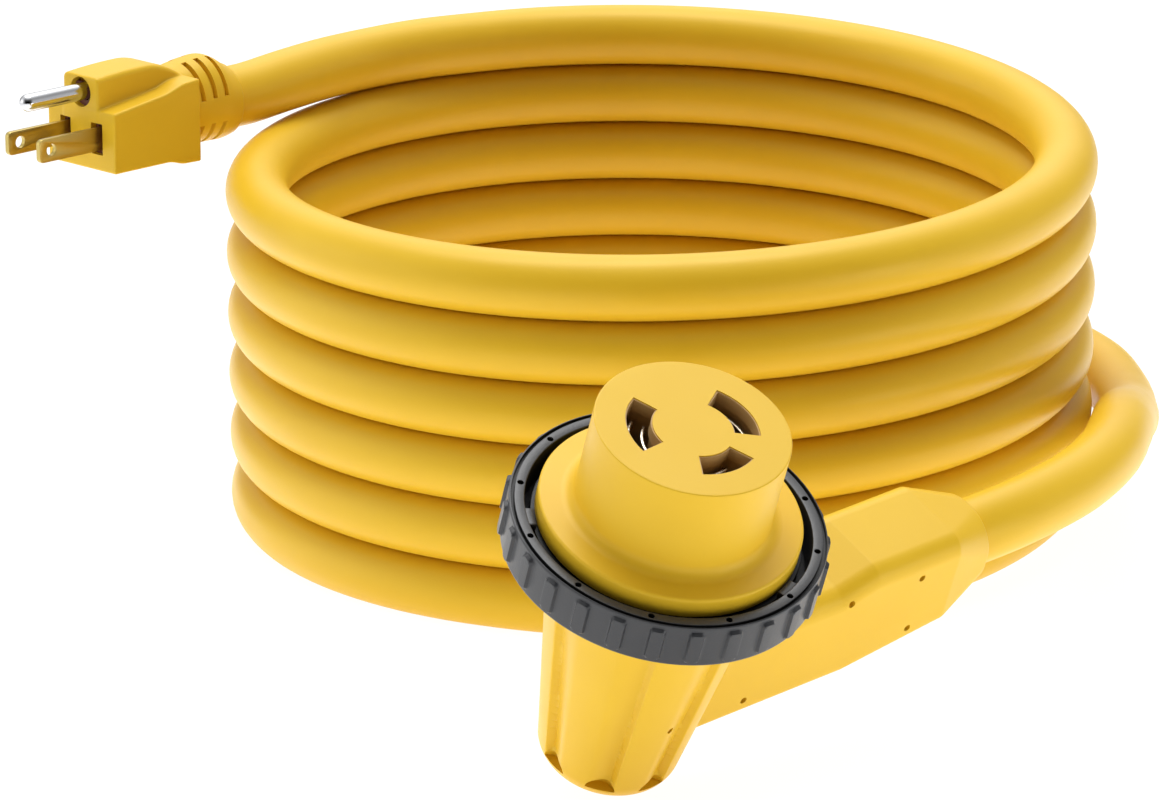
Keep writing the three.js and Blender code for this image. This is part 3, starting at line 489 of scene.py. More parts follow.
def rounded(corners, steps=5):
    """A closed outline from (x, y, radius) corners, each rounded with that radius."""
    corners = [np.array(c, float) for c in corners]
    points = []
    for i, corner in enumerate(corners):
        here, radius = corner[:2], corner[2]
        before, after = corners[i - 1][:2], corners[(i + 1) % len(corners)][:2]
        one, two = before - here, after - here
        one, two = one / np.linalg.norm(one), two / np.linalg.norm(two)
        if radius <= 0 or abs(np.cross(one, two)) < 1e-6:
            points.append(tuple(here))
            continue
        half = math.acos(np.clip(one @ two, -1, 1)) / 2
        middle = here + (one + two) / np.linalg.norm(one + two) * radius / math.sin(half)
        start = here + one * radius / math.tan(half) - middle
        end = here + two * radius / math.tan(half) - middle
        total = math.acos(np.clip(start @ end / radius**2, -1, 1))
        turn = math.copysign(total, np.cross(start, end))
        for k in range(steps + 1):
            a = turn * k / steps
            c, s = math.cos(a), math.sin(a)
            points.append(
                (middle[0] + c * start[0] - s * start[1], middle[1] + s * start[0] + c * start[1])
            )
    return points


def prism(outline, low, high, axis="Z"):
    """A closed straight body over an outline. With axis X it stands on the (y, z) plane, and
    with axis Y on the (x, z) plane."""
    rings = []
    for level in (low, high):
        if axis == "Z":
            rings.append([(x, y, level) for x, y in outline])
        elif axis == "X":
            rings.append([(level, x, y) for x, y in outline])
        else:
            rings.append([(x, level, y) for x, y in outline])
    return loft(rings)


def facing_out(vertices, faces):
    """The faces, turned so that they face outward."""
    v = np.asarray(vertices, float)
    volume = 0.0
    for face in faces:
        for k in range(1, len(face) - 1):
            volume += v[face[0]] @ np.cross(v[face[k]], v[face[k + 1]])
    return faces if volume > 0 else [tuple(reversed(face)) for face in faces]


def solid(name, shape, matrix, material, body=None, sharp=35.0):
    vertices, faces = shape
    return piece(name, vertices, facing_out(vertices, faces), matrix, [material], body, sharp)


def circle(radius, x=0.0, y=0.0, sides=32):
    bearings = [2 * math.pi * i / sides for i in range(sides)]
    return [(x + radius * math.cos(a), y + radius * math.sin(a)) for a in bearings]


def beveled(thing, width, segments, sharp, **limit):
    """Rounds the edges of a mesh and shades it smooth. width is in metres."""
    modifier = thing.modifiers.new("edge", "BEVEL")
    modifier.width = width
    modifier.segments = segments
    for key, value in limit.items():
        setattr(modifier, key, value)
    applied(thing)
    smooth(thing, sharp)


def sector(inner, outer, start, end, steps=28):
    """Part of a flat ring between two bearings in degrees."""
    bearings = [rad(start + (end - start) * i / steps) for i in range(steps + 1)]
    return [(outer * math.cos(a), outer * math.sin(a)) for a in bearings] + [
        (inner * math.cos(a), inner * math.sin(a)) for a in reversed(bearings)
    ]


# ------------------------------------------------- surfaces from a field


def corner(a, b, radius):
    """What lies inside both a and b, with a round edge between them."""
    u, v = a + radius, b + radius
    outside = np.hypot(np.maximum(u, 0), np.maximum(v, 0))
    return np.minimum(np.maximum(u, v), 0) + outside - radius


def blend(a, b, width):
    """What lies inside a or b, with a soft fillet between them."""
    h = np.clip(0.5 + 0.5 * (b - a) / width, 0, 1)
    return b + (a - b) * h - width * h * (1 - h)


def ease(value, start, end):
    t = np.clip((value - start) / (end - start), 0, 1)
    return t * t * (3 - 2 * t)


SETTLE_ROUNDS = 6
SLOPE_STEP = 0.02
LARGEST_MOVE = 1.2


def slope_of(field, p):
    steps = [SLOPE_STEP * axis for axis in np.eye(3)]
    return np.stack([(field(p + e) - field(p - e)) / (2 * SLOPE_STEP) for e in steps], 1)


def settled(name, shapes, field, voxel, matrix, material):
    """Rough closed shapes, remeshed as one skin and moved onto the field's zero surface."""
    vertices, faces = [], []
    for points, quads in shapes:
        offset = len(vertices)
        vertices += [tuple(p) for p in points]
        faces += [tuple(offset + k for k in quad) for quad in facing_out(points, quads)]
    # The remesh works in millimetres here, where its grid is well clear of rounding.
    thing = piece(name, vertices, faces, Matrix.Identity(4), [material])
    modifier = thing.modifiers.new("skin", "REMESH")
    modifier.mode = "VOXEL"
    modifier.voxel_size = voxel
    applied(thing)
    count = len(thing.data.vertices)
    p = np.zeros(count * 3)
    thing.data.vertices.foreach_get("co", p)
    p = p.reshape(-1, 3)
    for _ in range(SETTLE_ROUNDS):
        value = field(p)
        slope = slope_of(field, p)
        size = np.maximum((slope**2).sum(1), 0.2)
        move = slope * (value / size)[:, None]
        reach = np.linalg.norm(move, axis=1, keepdims=True)
        p -= move * np.minimum(1, LARGEST_MOVE / np.maximum(reach, 1e-9))
    thing.data.vertices.foreach_set("co", p.ravel())
    thing.data.transform(matrix)
    thing.data.update()
    smooth(thing, 40)
    return thing


# ------------------------------------------------------------------- cord


def leaned(vector):
    x, y, z = vector
    c, s = math.cos(COIL_LEAN), math.sin(COIL_LEAN)
    return np.array((x, c * y - s * z, s * y + c * z))


def coil_point(sweep):
    bearing = COIL_START + sweep
    height = COIL_LOW_POINT + COIL_PITCH * sweep / (2 * math.pi)
    local = (COIL_RADIUS * math.cos(bearing), COIL_RADIUS * math.sin(bearing), height)
    return leaned(local) + COIL_FOOT + shift


def coil_heading(sweep):
    step = coil_point(sweep + 0.001) - coil_point(sweep - 0.001)
    return step / np.linalg.norm(step)


def catmull_rom(points, spacing):
    """Points about spacing apart on a centripetal spline through the given points."""
    points = [np.asarray(p, float) for p in points]
    points = [2 * points[0] - points[1], *points, 2 * points[-1] - points[-2]]
    line = []
    for p0, p1, p2, p3 in zip(points, points[1:], points[2:], points[3:]):
        t0 = 0.0
        t1 = t0 + math.sqrt(np.linalg.norm(p1 - p0))
        t2 = t1 + math.sqrt(np.linalg.norm(p2 - p1))
        t3 = t2 + math.sqrt(np.linalg.norm(p3 - p2))
        steps = max(1, round(float(np.linalg.norm(p2 - p1)) / spacing))
        for k in range(steps):
            t = t1 + (t2 - t1) * k / steps
            a1 = (t1 - t) / (t1 - t0) * p0 + (t - t0) / (t1 - t0) * p1
            a2 = (t2 - t) / (t2 - t1) * p1 + (t - t1) / (t2 - t1) * p2
            a3 = (t3 - t) / (t3 - t2) * p2 + (t - t2) / (t3 - t2) * p3
            b1 = (t2 - t) / (t2 - t0) * a1 + (t - t0) / (t2 - t0) * a2
            b2 = (t3 - t) / (t3 - t1) * a2 + (t - t1) / (t3 - t1) * a3
            line.append((t2 - t) / (t2 - t1) * b1 + (t - t1) / (t2 - t1) * b2)
    line.append(points[-2])
    return np.array(line)


arm_exit = placed(CONNECTOR, (ARM_LENGTH, 0, CABLE_LEVEL))
arm_way = heading(CONNECTOR, (1, 0, 0))
relief_exit = placed(PLUG, (-PLUG_END, 0, RELIEF_LEVEL))
plug_way = heading(PLUG, (1, 0, 0))
low_way, high_way = coil_heading(0), coil_heading(COIL_SWEEP)
coil_steps = round(COIL_SWEEP / COIL_STEP)
route = [arm_exit - CORD_INSET * arm_way, arm_exit + CORD_DIAMETER * arm_way]
route += [np.array(p) + shift for p in LOOP_POINTS]
route += [coil_point(0) - 1.5 * CORD_DIAMETER * low_way, coil_point(0) - CORD_DIAMETER * low_way]
route += [coil_point(COIL_SWEEP * k / coil_steps) for k in range(coil_steps + 1)]
route += [coil_point(COIL_SWEEP) + CORD_DIAMETER * high_way]
route += [np.array(p) + shift for p in TAIL_POINTS]
route += [relief_exit - CORD_DIAMETER / 2 * plug_way, relief_exit + CORD_INSET * plug_way]
line = catmull_rom(route, CORD_STEP)


def cord_mesh(line, radius, sides):
    tangent = np.gradient(line, axis=0)
    tangent /= np.linalg.norm(tangent, axis=1, keepdims=True)
    side = np.cross(tangent, leaned((0, 0, 1)))
    side /= np.linalg.norm(side, axis=1, keepdims=True)
    over = np.cross(side, tangent)
    rings = []
    for k in range(sides):
        a = 2 * math.pi * k / sides
        rings.append(line + radius * (math.cos(a) * side + math.sin(a) * over))
    rings = np.stack(rings, 1)
    rings[..., 2] = np.maximum(rings[..., 2], 0)
    return loft(rings)


vertices, faces = cord_mesh(line, SHOWN_RADIUS, CORD_SIDES)
faces = facing_out(vertices, faces)
cord = piece("cord", vertices, faces, WORLD, [JACKET], "cord_and_housings", 50)
lengths = np.concatenate([[0], np.cumsum(np.linalg.norm(np.diff(line, axis=0), axis=1))])
# Round the cord and along it, for its material: mirrored round it, so that no seam shows.
layer = cord.data.uv_layers.new(name="along")
around = np.zeros((len(cord.data.loops), 2))
indices = np.zeros(len(cord.data.loops), int)
cord.data.loops.foreach_get("vertex_index", indices)
around[:, 0] = np.abs((indices % CORD_SIDES) / CORD_SIDES * 2 - 1)
around[:, 1] = lengths[indices // CORD_SIDES] * MM
layer.data.foreach_set("uv", around.ravel())
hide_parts("cord_coil", "cord_loop", "cord_tail")

# -------------------------------------------------------------- connector


def flute_depth(x, y, h):
    """How far the barrel's surface lies in at a flute. Each flute has a soft side and a sharp
    one, and fades into the scoop at its lower end."""
    bearing = np.degrees(np.arctan2(y, x))
    pitch = 360 / FLUTE_COUNT
    nearest = np.round(bearing / pitch) * pitch
    across = (bearing - nearest) / FLUTE_HALF_ANGLE
    toward_viewer = (nearest < -20) & (nearest > -160)
    share = 0.5 + 0.5 * across * np.where(toward_viewer, 1.0, -1.0)
    hollow = ease(share, 0.0, 0.82) * (1 - ease(share, 0.84, 1.0))
    down = np.clip((SHOULDER - h) / FLUTE_RUN, 0, 1)
    fade = ease(h, SCOOP_BOTTOM - 0.5, SCOOP_BOTTOM + 4.5)
    return (FLUTE_DEPTH + FLUTE_GROWTH * down) * hollow * fade


def arm_section(x):
    """The arm's bottom, top, far side and near side at x, and the radii of its edges: straight,
    with a step up beyond the barrel, a belly, and a round tip for the cord."""
    tip = np.clip((x - TIP_START) / TIP_LENGTH, 0, 1)
    rise = np.clip((x - RISE_START) / RISE_LENGTH, 0, 1)
    belly = np.clip((x - BELLY_START) / BELLY_LENGTH, 0, 1)
    high = CABLE_LEVEL + ARM_TOP + RISE * rise - 3.7 * tip
    low = CABLE_LEVEL + ARM_BOTTOM + BELLY * belly + 1.3 * tip
    far, near = ARM_FAR - 1.9 * tip, ARM_NEAR + 2.8 * tip
    return low, high, far, near, ARM_TOP_EDGE + 4.8 * tip, ARM_LOW_EDGE + 8.0 * tip


def shell_field(p):
    x, y, h = p.T
    radius = BARREL_TOP_RADIUS - BARREL_TAPER * (SHOULDER - h)
    side = (np.hypot(x, y) - radius + flute_depth(x, y, h)) / math.hypot(1, BARREL_TAPER)
    barrel = corner(side, BARREL_BOTTOM - h, BARREL_FILLET)
    barrel = corner(barrel, h - SHOULDER, 0.8)
    low, high, far, near, top_edge, low_edge = arm_section(x)
    middle = (high + low) / 2
    edge = np.where(h > middle, top_edge, low_edge)
    across = np.abs(y - (far + near) / 2) - (far - near) / 2
    arm = corner(across, np.abs(h - middle) - (high - low) / 2, edge)
    arm = np.maximum(corner(arm, x - ARM_LENGTH, 1.0), -x)
    return blend(barrel, arm, SHELL_JOIN)


ROUGH_INSET = 0.2  # how far a rough shape lies inside the surface that it is moved onto
ROUGH_EDGE = 3.4


def arm_rough():
    rings = []
    for x in (0, 54, 60, 65, 75, 90, 98, ARM_LENGTH - ROUGH_INSET):
        low, high, far, near, _, _ = arm_section(float(x))
        low, high = low + ROUGH_INSET, high - ROUGH_INSET
        far, near = far - ROUGH_INSET, near + ROUGH_INSET
        corners = ((far, high), (near, high), (near, low), (far, low))
        rings.append([(x, y, z) for y, z in rounded([(*c, ROUGH_EDGE) for c in corners])])
    return loft(rings)


def scoop(bearing):
    """A cutter for the hollow at the lower end of a flute, with a flat floor."""
    reach = BARREL_TOP_RADIUS - BARREL_TAPER * (SHOULDER - SCOOP_BOTTOM) + 0.3
    rings = []
    for k in range(9):
        a = rad(9.5 * k)
        size, level = math.cos(a), SCOOP_BOTTOM + SCOOP_HEIGHT * math.sin(a)
        outline = circle(1, sides=48)
        rings.append([
            (reach + SCOOP_REACH * size * x, SCOOP_HALF_WIDTH * size * y, level)
            for x, y in outline
        ])
    turn = CONNECTOR @ Matrix.Rotation(rad(bearing), 4, "Z")
    return solid("scoop", loft(rings), turn, YELLOW)


barrel_rough = lathe(
    [(0, SHOULDER), (26.6, SHOULDER - 0.1), (26.9, SHOULDER - 0.5), (17.2, -99), (14, -103.5),
     (10, -105.2), (0, -105.2)],
    96,
)
shell = settled(
    "connector_shell", [barrel_rough, arm_rough()], shell_field,
    0.36, CONNECTOR, YELLOW,
)
# The room in the barrel for the carrier and the wires, and the cord's bore in the arm.
chamber = solid(
    "chamber",
    lathe(
        [(0, CHAMBER_FLOOR), (13.1, CHAMBER_FLOOR), (20.2, SPIGOT_BOTTOM - 1),
         (20.8, SPIGOT_BOTTOM - 1), (20.8, -33), (0, -33)],
        96,
    ),
    CONNECTOR, YELLOW,
)
bore = solid(
    "bore", prism(circle(CORD_BORE, 0, CABLE_LEVEL, 64), 1, ARM_LENGTH + 1, "X"),
    CONNECTOR, YELLOW,
)


def pin_hole(radius, place, start, end):
    """A cutter for a blind round hole that opens toward the viewer."""
    return solid("pin_hole", prism(circle(radius, *place, 24), start, end, "Y"), CONNECTOR, YELLOW)


cut(shell, chamber, bore, *[pin_hole(HOLE_RADIUS, place, -17, -11.2) for place in ARM_HOLES])
# Every flute but the one under the arm ends in a scoop.
scoops = [scoop(360 / FLUTE_COUNT * k) for k in range(1, FLUTE_COUNT)]
cut(shell, pin_hole(BARREL_HOLE_RADIUS, BARREL_HOLE, -30, -18.4), *scoops)
smooth(shell, 40)
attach(shell, "cord_and_housings")
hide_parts("connector_body")

nose = solid(
    "connector_nose",
    lathe(
        [(0, 0)]
        + rounded(
            [(0.01, 0, 0), (NOSE_RADIUS - 0.6, 0, 0), (NOSE_RADIUS, 0, 0.25),
             (NOSE_RADIUS, -0.6, 0), (NOSE_RADIUS, -NOSE_HEIGHT, 3.2),
             (FLANGE_RADIUS, -NOSE_HEIGHT, 0.7), (FLANGE_RADIUS, FLANGE_BOTTOM, 0.5),
             (NOSE_RADIUS, FLANGE_BOTTOM, 0), (NOSE_RADIUS, SHOULDER + 0.3, 0),
             (SPIGOT_RADIUS, SHOULDER + 0.3, 0), (SPIGOT_RADIUS, SPIGOT_BOTTOM, 0),
             (NOSE_BORE, SPIGOT_BOTTOM, 0), (NOSE_BORE, -FACE_THICKNESS, 0),
             (0.01, -FACE_THICKNESS, 0)]
        )
        + [(0, -FACE_THICKNESS)],
        192,
    ),
    CONNECTOR, YELLOW,
)
cut(nose, *[
    solid("slot", prism(sector(SLOT_INNER, SLOT_OUTER, *ends), -SLOT_DEPTH, 1), CONNECTOR, YELLOW)
    for ends in SLOTS.values()
])
smooth(nose, 30)
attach(nose, "cord_and_housings")
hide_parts("socket_front")


def shade_liner(start, end):
    """A sheet that lines a slot, from just under the face down to the carrier. Its brownish colour
    is painted shade: it stands for the yellow slot walls in shade.
    """
    middle = (SLOT_INNER + SLOT_OUTER) / 2
    rings = []
    for inset, level in (
        (SHADE_LINING_ROOM, SHADE_LINING_BOTTOM), (SHADE_LINING_ROOM, SHADE_LINING_TOP),
        (SHADE_LINING_WALL, SHADE_LINING_TOP), (SHADE_LINING_WALL, SHADE_LINING_BOTTOM),
    ):
        turn = math.degrees(inset / middle)
        outline = sector(SLOT_INNER + inset, SLOT_OUTER - inset, start + turn, end - turn)
        rings.append([(x, y, level) for x, y in outline])
    rings = np.array(rings)
    rows, columns = rings.shape[:2]
    return rings.reshape(-1, 3), strip(rows, columns, wrap_rows=True)


# Each slot gets a lining sheet of painted shade.
for name, ends in SLOTS.items():
    shade_lining = solid(f"slot_shade_lining_{name}", shade_liner(*ends), CONNECTOR, BROWN_AND_SLOT_SHADE, "cord_and_housings")

# The lips of the contact leaves, which show in the slots.
for name, (start, end) in SLOTS.items():
    for side, radius in LIP_RADII.items():
        outline = sector(
            radius - LIP_WALL / 2, radius + LIP_WALL / 2, start + LIP_SHORT, end - LIP_SHORT
        )
        lip = solid(
            f"contact_lip_{name}_{side}", prism(outline, LIP_BOTTOM, LIP_TOP),
            CONNECTOR, CONTACT, "cord_and_housings",
        )
        beveled(lip, 0.0003, 3, 50)

# The locking ring: a turned rim whose outer face carries raised ribs.
RIB_COLUMNS = 24 * RIB_COUNT


def rib_rise(angle, height):
    """How far the outer face stands out at a rib: a pad with rounded corners and soft sides."""
    pitch = 2 * math.pi / RIB_COUNT
    across = ((angle / pitch) % 1 - 0.5) * pitch * RING_RADIUS
    up = height - (RING_TOP + RING_BOTTOM) / 2
    distance = corner(np.abs(across) - RIB_HALF_WIDTH, np.abs(up) - RIB_HALF_HEIGHT, RIB_CORNER)
    return RIB_RISE * (1 - ease(distance, -RIB_SLOPE, RIB_SLOPE))


def ring_mesh():
    plain = 0.45  # at the top and the foot of the outer face, where no rib stands
    ribbed = RING_TOP - RING_BOTTOM - 2 * plain
    outer = [(RING_RADIUS, RING_TOP - plain - ribbed * k / 44) for k in range(45)]
    under = [(RING_RADIUS - 0.13, RING_BOTTOM + 0.13), (RING_RADIUS - 0.45, RING_BOTTOM)]
    inner = rounded(
        [(28.0, RING_BOTTOM, 0.3), (28.0, -34.1, 0), (23.7, -34.1, 0.2), (23.7, -30.6, 0.2),
         (32.0, -30.6, 0.2), (32.0, CHANNEL_BOTTOM, 0), (RIM_BORE, CHANNEL_BOTTOM, 0),
         (RIM_BORE, RING_TOP, 0.25), (GROOVE_INNER, RING_TOP, 0.12),
         (GROOVE_INNER, RING_TOP - GROOVE_DEPTH, 0), (GROOVE_OUTER, RING_TOP - GROOVE_DEPTH, 0),
         (GROOVE_OUTER, RING_TOP, 0.12), (RING_RADIUS - 0.4, RING_TOP - 0.02, 0)],
        3,
    )
    profile = outer + under + inner + [(RING_RADIUS - 0.13, RING_TOP - 0.15)]
    angles = np.arange(RIB_COLUMNS) * 2 * math.pi / RIB_COLUMNS
    rows = []
    for index, (radius, height) in enumerate(profile):
        reach = np.full(RIB_COLUMNS, radius)
        if index < len(outer):
            reach = reach + rib_rise(angles, height)
        rows.append(np.stack([reach * np.cos(angles), reach * np.sin(angles),
                              np.full(RIB_COLUMNS, height)], 1))
    rings = np.array(rows)
    return rings.reshape(-1, 3), strip(len(profile), RIB_COLUMNS, wrap_rows=True)


def dimple(bearing):
    place = (DIMPLE_CIRCLE * math.cos(bearing), DIMPLE_CIRCLE * math.sin(bearing))
    outline = circle(DIMPLE_RADIUS, *place, 20)
    return solid("dimple", prism(outline, RING_TOP - DIMPLE_DEPTH, RING_TOP + 1), CONNECTOR, RING_HOLLOW_SHADE)


def ring_look(place):
    """The number of the ring's material at a place: grey, with its groove and dimples painted
    near-black as shade in those hollows, and the inside of the channel painted darker and rougher
    as shade."""
    reach = math.hypot(place.x, place.y)
    down = RING_TOP - place.z
    # The groove and the dimples take the near-black painted shade.
    in_groove = GROOVE_INNER - 0.05 < reach < GROOVE_OUTER + 0.05 and 0.15 < down < 1.3
    in_dimple = abs(reach - DIMPLE_CIRCLE) < 0.95 and 0.1 < down < 1.3
    if in_groove or in_dimple:
        return 1
    # The inside of the channel takes the darker painted shade.
    inside = 23.6 < reach < RIM_BORE + 0.1 and CHANNEL_BOTTOM - 0.2 < place.z < RING_TOP - 0.3
    return 2 if inside else 0


ring = solid("ring_rim", ring_mesh(), CONNECTOR, GREY, None, 30)
cut(ring, *[dimple(rad(15 + 360 / DIMPLE_COUNT * k)) for k in range(DIMPLE_COUNT)])
smooth(ring, 30)
ring.data.materials.clear()
for look in (GREY, RING_HOLLOW_SHADE, RING_INSIDE_SHADE):
    ring.data.materials.append(look)
inverse = CONNECTOR.inverted()
for polygon in ring.data.polygons:
    polygon.material_index = ring_look(inverse @ polygon.center)
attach(ring, "ring")
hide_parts("locking_ring")
for k, bearing in enumerate(LUG_BEARINGS):
    outline = sector(
        FLANGE_RADIUS + 0.6, RIM_BORE + 0.4, bearing - LUG_HALF_ANGLE, bearing + LUG_HALF_ANGLE, 10
    )
    lug = solid(f"ring_lug_{k + 1}", prism(outline, LUG_BOTTOM, LUG_TOP), CONNECTOR, GREY, "ring")
    beveled(lug, 0.0003, 2, 40)

# ------------------------------------------------------------------- plug

# The plug's body from the side, as (distance behind its face, level) pairs.
TOP_LINE = [(-5, 6.4), (0, 7.1), (19, 9.7), (24.5, 11.5), (30.6, 12.0), (36, 12.3)]
BOTTOM_LINE = [(-5, -9.3), (0, -9.3), (20, -9.3), (24.3, -10.6), (30.6, -10.8), (36, -10.8)]


def along(table, t):
    """The level of a side line at t, with its corners rounded off by a short mean."""
    xs, ys = zip(*table)
    offsets = (-1.2, -0.6, 0, 0.6, 1.2)
    return sum(np.interp(t + o, xs, ys) for o in offsets) / len(offsets)


# The strain relief's ovals: where each lies, and its middle level and half sizes.
RELIEF_AT = [25, 31, 36, 42, 44.5, 47, 49, 52]
RELIEF_MIDDLE = [2.1, 2.1, 2.5, 2.8, 2.4, 1.6, 1.1, 1.0]
RELIEF_HALF_HEIGHT = [11.4, 11.4, 11.9, 12.2, 11.9, 11.2, 10.2, 9.6]
RELIEF_HALF_WIDTH = [10.6, 10.6, 10.8, 10.8, 10.6, 10.1, 9.6, 9.2]


def relief_section(t):
    rows = (RELIEF_MIDDLE, RELIEF_HALF_HEIGHT, RELIEF_HALF_WIDTH)
    return [along(list(zip(RELIEF_AT, row)), t) for row in rows]


def plug_field(p):
    x, y, z = p.T
    t = -x
    ends = np.maximum(-t, t - PLUG_LENGTH)
    block = corner(z - along(TOP_LINE, t), np.abs(y) - PLUG_HALF_WIDTH, 0.7)
    block = corner(block, along(BOTTOM_LINE, t) - z, 0.6)
    block = corner(block, ends, 0.5)
    fall = np.where(
        t < TOWER_CREST, 0.9 * ((TOWER_CREST - t) / TOWER_CREST) ** 2,
        4.0 * ((t - TOWER_CREST) / 12.1) ** 2,
    )
    tower = corner(z - TOWER_TOP + fall, np.abs(y) - TOWER_HALF_WIDTH, 1.6)
    tower = np.maximum(corner(tower, ends, 0.6), -z)
    middle, half_height, half_width = relief_section(t)
    oval = np.hypot(y / half_width, (z - middle) / half_height)
    relief = (oval - 1) * (half_height + half_width) / 2
    relief = np.maximum(corner(relief, t - PLUG_END, 0.8), 24 - t)
    return blend(blend(block, tower, 0.8), relief, 0.8)


def side_view(points, half_width):
    return prism([(-t, z) for t, z in points], -half_width, half_width, "Y")


block_rough = side_view([(0.1, 7), (30.5, 11.9), (30.5, -10.7), (0.1, -9.2)], 13.5)
tower_rough = side_view(
    [(0.1, 15.7), (8, 16.4), (17.5, 16.6), (24, 15.5), (30.2, 12.3), (30.2, 2), (0.1, 2)], 6.9
)
relief_rings = []
for t in (24.2, 31, 36, 42, 44.5, 47, 49, 50.4):
    middle, half_height, half_width = relief_section(t)
    relief_rings.append([
        (-t, half_width * y, middle + half_height * z) for y, z in circle(1, sides=64)
    ])
plug = settled(
    "plug_shell", [block_rough, tower_rough, loft(relief_rings)], plug_field,
    0.33, PLUG, YELLOW,
)


def relief_slot(t, start, end):
    """A cutter for one arc-shaped slot of the strain relief."""
    middle, half_height, half_width = relief_section(t)
    bearings = [rad(start + (end - start) * k / 16) for k in range(17)]
    outline = []
    for grow, order in ((RELIEF_SLOT_DEPTH, bearings), (-RELIEF_SLOT_DEPTH, bearings[::-1])):
        wide, tall = half_width + grow, half_height + grow
        outline += [(wide * math.cos(a), middle + tall * math.sin(a)) for a in order]
    low, high = -t - RELIEF_SLOT_HALF_WIDTH, -t + RELIEF_SLOT_HALF_WIDTH
    return solid("relief_slot", prism(outline, low, high, "X"), PLUG, YELLOW)


def window(outline):
    """A cutter for a recess in the plug's face."""
    return solid("window", prism(outline, -WINDOW_DEPTH, 1, "X"), PLUG, YELLOW)


def blade_window(y):
    top, bottom = BLADE_LEVEL + WINDOW_HALF_HEIGHT, BLADE_LEVEL - WINDOW_HALF_HEIGHT
    left, right = y + WINDOW_HALF_WIDTH, y - WINDOW_HALF_WIDTH
    corners = ((left, top), (right, top), (right, bottom), (left, bottom))
    return window(rounded([(*c, 0.3) for c in corners], 3))


cutters = [
    relief_slot(t, *span_of_slot) for t in RELIEF_SLOTS_AT for span_of_slot in RELIEF_SLOT_SPANS
]
cutters += [blade_window(-BLADE_INSET), blade_window(BLADE_INSET)]
cutters.append(window(circle(PIN_WINDOW_RADIUS, 0, PIN_LEVEL, 48)))
passage = prism(circle(CORD_BORE, 0, RELIEF_LEVEL, 64), -PLUG_END - 1, -PLUG_LENGTH, "X")
cutters.append(solid("bore", passage, PLUG, YELLOW))
cut(plug, *cutters)
smooth(plug, 40)
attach(plug, "cord_and_housings")
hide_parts("plug_body")


def blade(name, y):
    half = BLADE_HALF_HEIGHT
    outline = rounded([
        (BLADE_ROOT, -half, 0), (BLADE_REACH, -half, BLADE_CORNER),
        (BLADE_REACH, half, BLADE_CORNER), (BLADE_ROOT, half, 0),
    ], 4)
    outline = [(x, z + BLADE_LEVEL) for x, z in outline]
    sides = (y - BLADE_HALF_THICKNESS, y + BLADE_HALF_THICKNESS)
    thing = solid(name, prism(outline, *sides, "Y"), PLUG, BRASS)
    hole = circle(BLADE_HOLE_RADIUS, BLADE_REACH - BLADE_HOLE_INSET, BLADE_LEVEL, 40)
    cut(thing, solid("hole", prism(hole, y - 2, y + 2, "Y"), PLUG, BRASS))
    beveled(thing, 0.00016, 2, 40, limit_method="ANGLE", angle_limit=rad(50))
    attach(thing, "cord_and_housings")
    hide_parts(name.replace("shown_", ""))
    return thing


blades = [blade("shown_blade_neutral", -BLADE_INSET), blade("shown_blade_line", BLADE_INSET)]

pin_profile = [(0, PIN_ROOT), (PIN_RADIUS, PIN_ROOT)]
pin_profile += [
    (PIN_RADIUS * math.cos(rad(a)), BLADE_REACH - PIN_RADIUS * (1 - math.sin(rad(a))))
    for a in range(0, 90, 10)
] + [(0, BLADE_REACH)]
pin_points, pin_faces = lathe(pin_profile, 56)
pin_points = [(z, x, y + PIN_LEVEL) for x, y, z in pin_points]
pin = solid("shown_ground_pin", (pin_points, pin_faces), PLUG, CHROME, "cord_and_housings")
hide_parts("ground_pin")

# ------------------------------------------------------- carried-over nodes

LOOKS = {
    "contact_carrier": BROWN_AND_SLOT_SHADE, "contact_ground": CONTACT, "contact_neutral": CONTACT,
    "contact_line": CONTACT, "connector_wire_ground": GREEN_WIRE,
    "connector_wire_neutral": WHITE_WIRE, "connector_wire_line": BLACK_WIRE,
    "connector_cord_end": YELLOW, "plug_cord_end": YELLOW, "plug_bridge": PLUG_BROWN,
    "plug_wire_ground": GREEN_WIRE, "plug_wire_neutral": WHITE_WIRE, "plug_wire_line": BLACK_WIRE,
}
for name, look in LOOKS.items():
    node = frame["nodes"][name]
    node.data.materials.clear()
    node.data.materials.append(look)

# ----------------------------------------------------------------- studio

NEAR_GLOW, FAR_GLOW = 0.75, 0.2
GLOW_FADES = (0.2, 0.7)  # metres from the frame's origin
FLOOR_SHADE = 0.8
SEEN_GLOW, SEEN_SHADE = 0.955, 0.12
SKY_LOBES = (
    ((0, 0, 1), 1.3), ((0, 0.7, 1), 2.5), ((-1, 0, 0.15), 2.2), ((1, 0, 0.15), 0.8),
    ((0, 1, 0.15), 0.4),
)
LOBE_POWER = 6.0


def seen_by_eye(tree):
    """1 for what the camera sees straight or through the object, and 0 for the rest."""
    path = tree.nodes.new("ShaderNodeLightPath")
    seen = tree.nodes.new("ShaderNodeMath")
    seen.operation = "MAXIMUM"
    tree.links.new(path.outputs["Is Camera Ray"], seen.inputs[0])
    tree.links.new(path.outputs["Is Transmission Ray"], seen.inputs[1])
    return seen.outputs[0]


def fading_glow(tree):
    """A strength that falls off with the distance from the frame's origin."""
    away = tree.nodes.new("ShaderNodeVectorMath")
    away.operation = "LENGTH"
    tree.links.new(tree.nodes.new("ShaderNodeTexCoord").outputs["Object"], away.inputs[0])
    fade = tree.nodes.new("ShaderNodeMapRange")
    sockets = ("From Min", "From Max", "To Min", "To Max")
    for socket, value in zip(sockets, (*GLOW_FADES, NEAR_GLOW, FAR_GLOW)):
        fade.inputs[socket].default_value = value
    tree.links.new(away.outputs["Value"], fade.inputs["Value"])
    return fade.outputs["Result"]


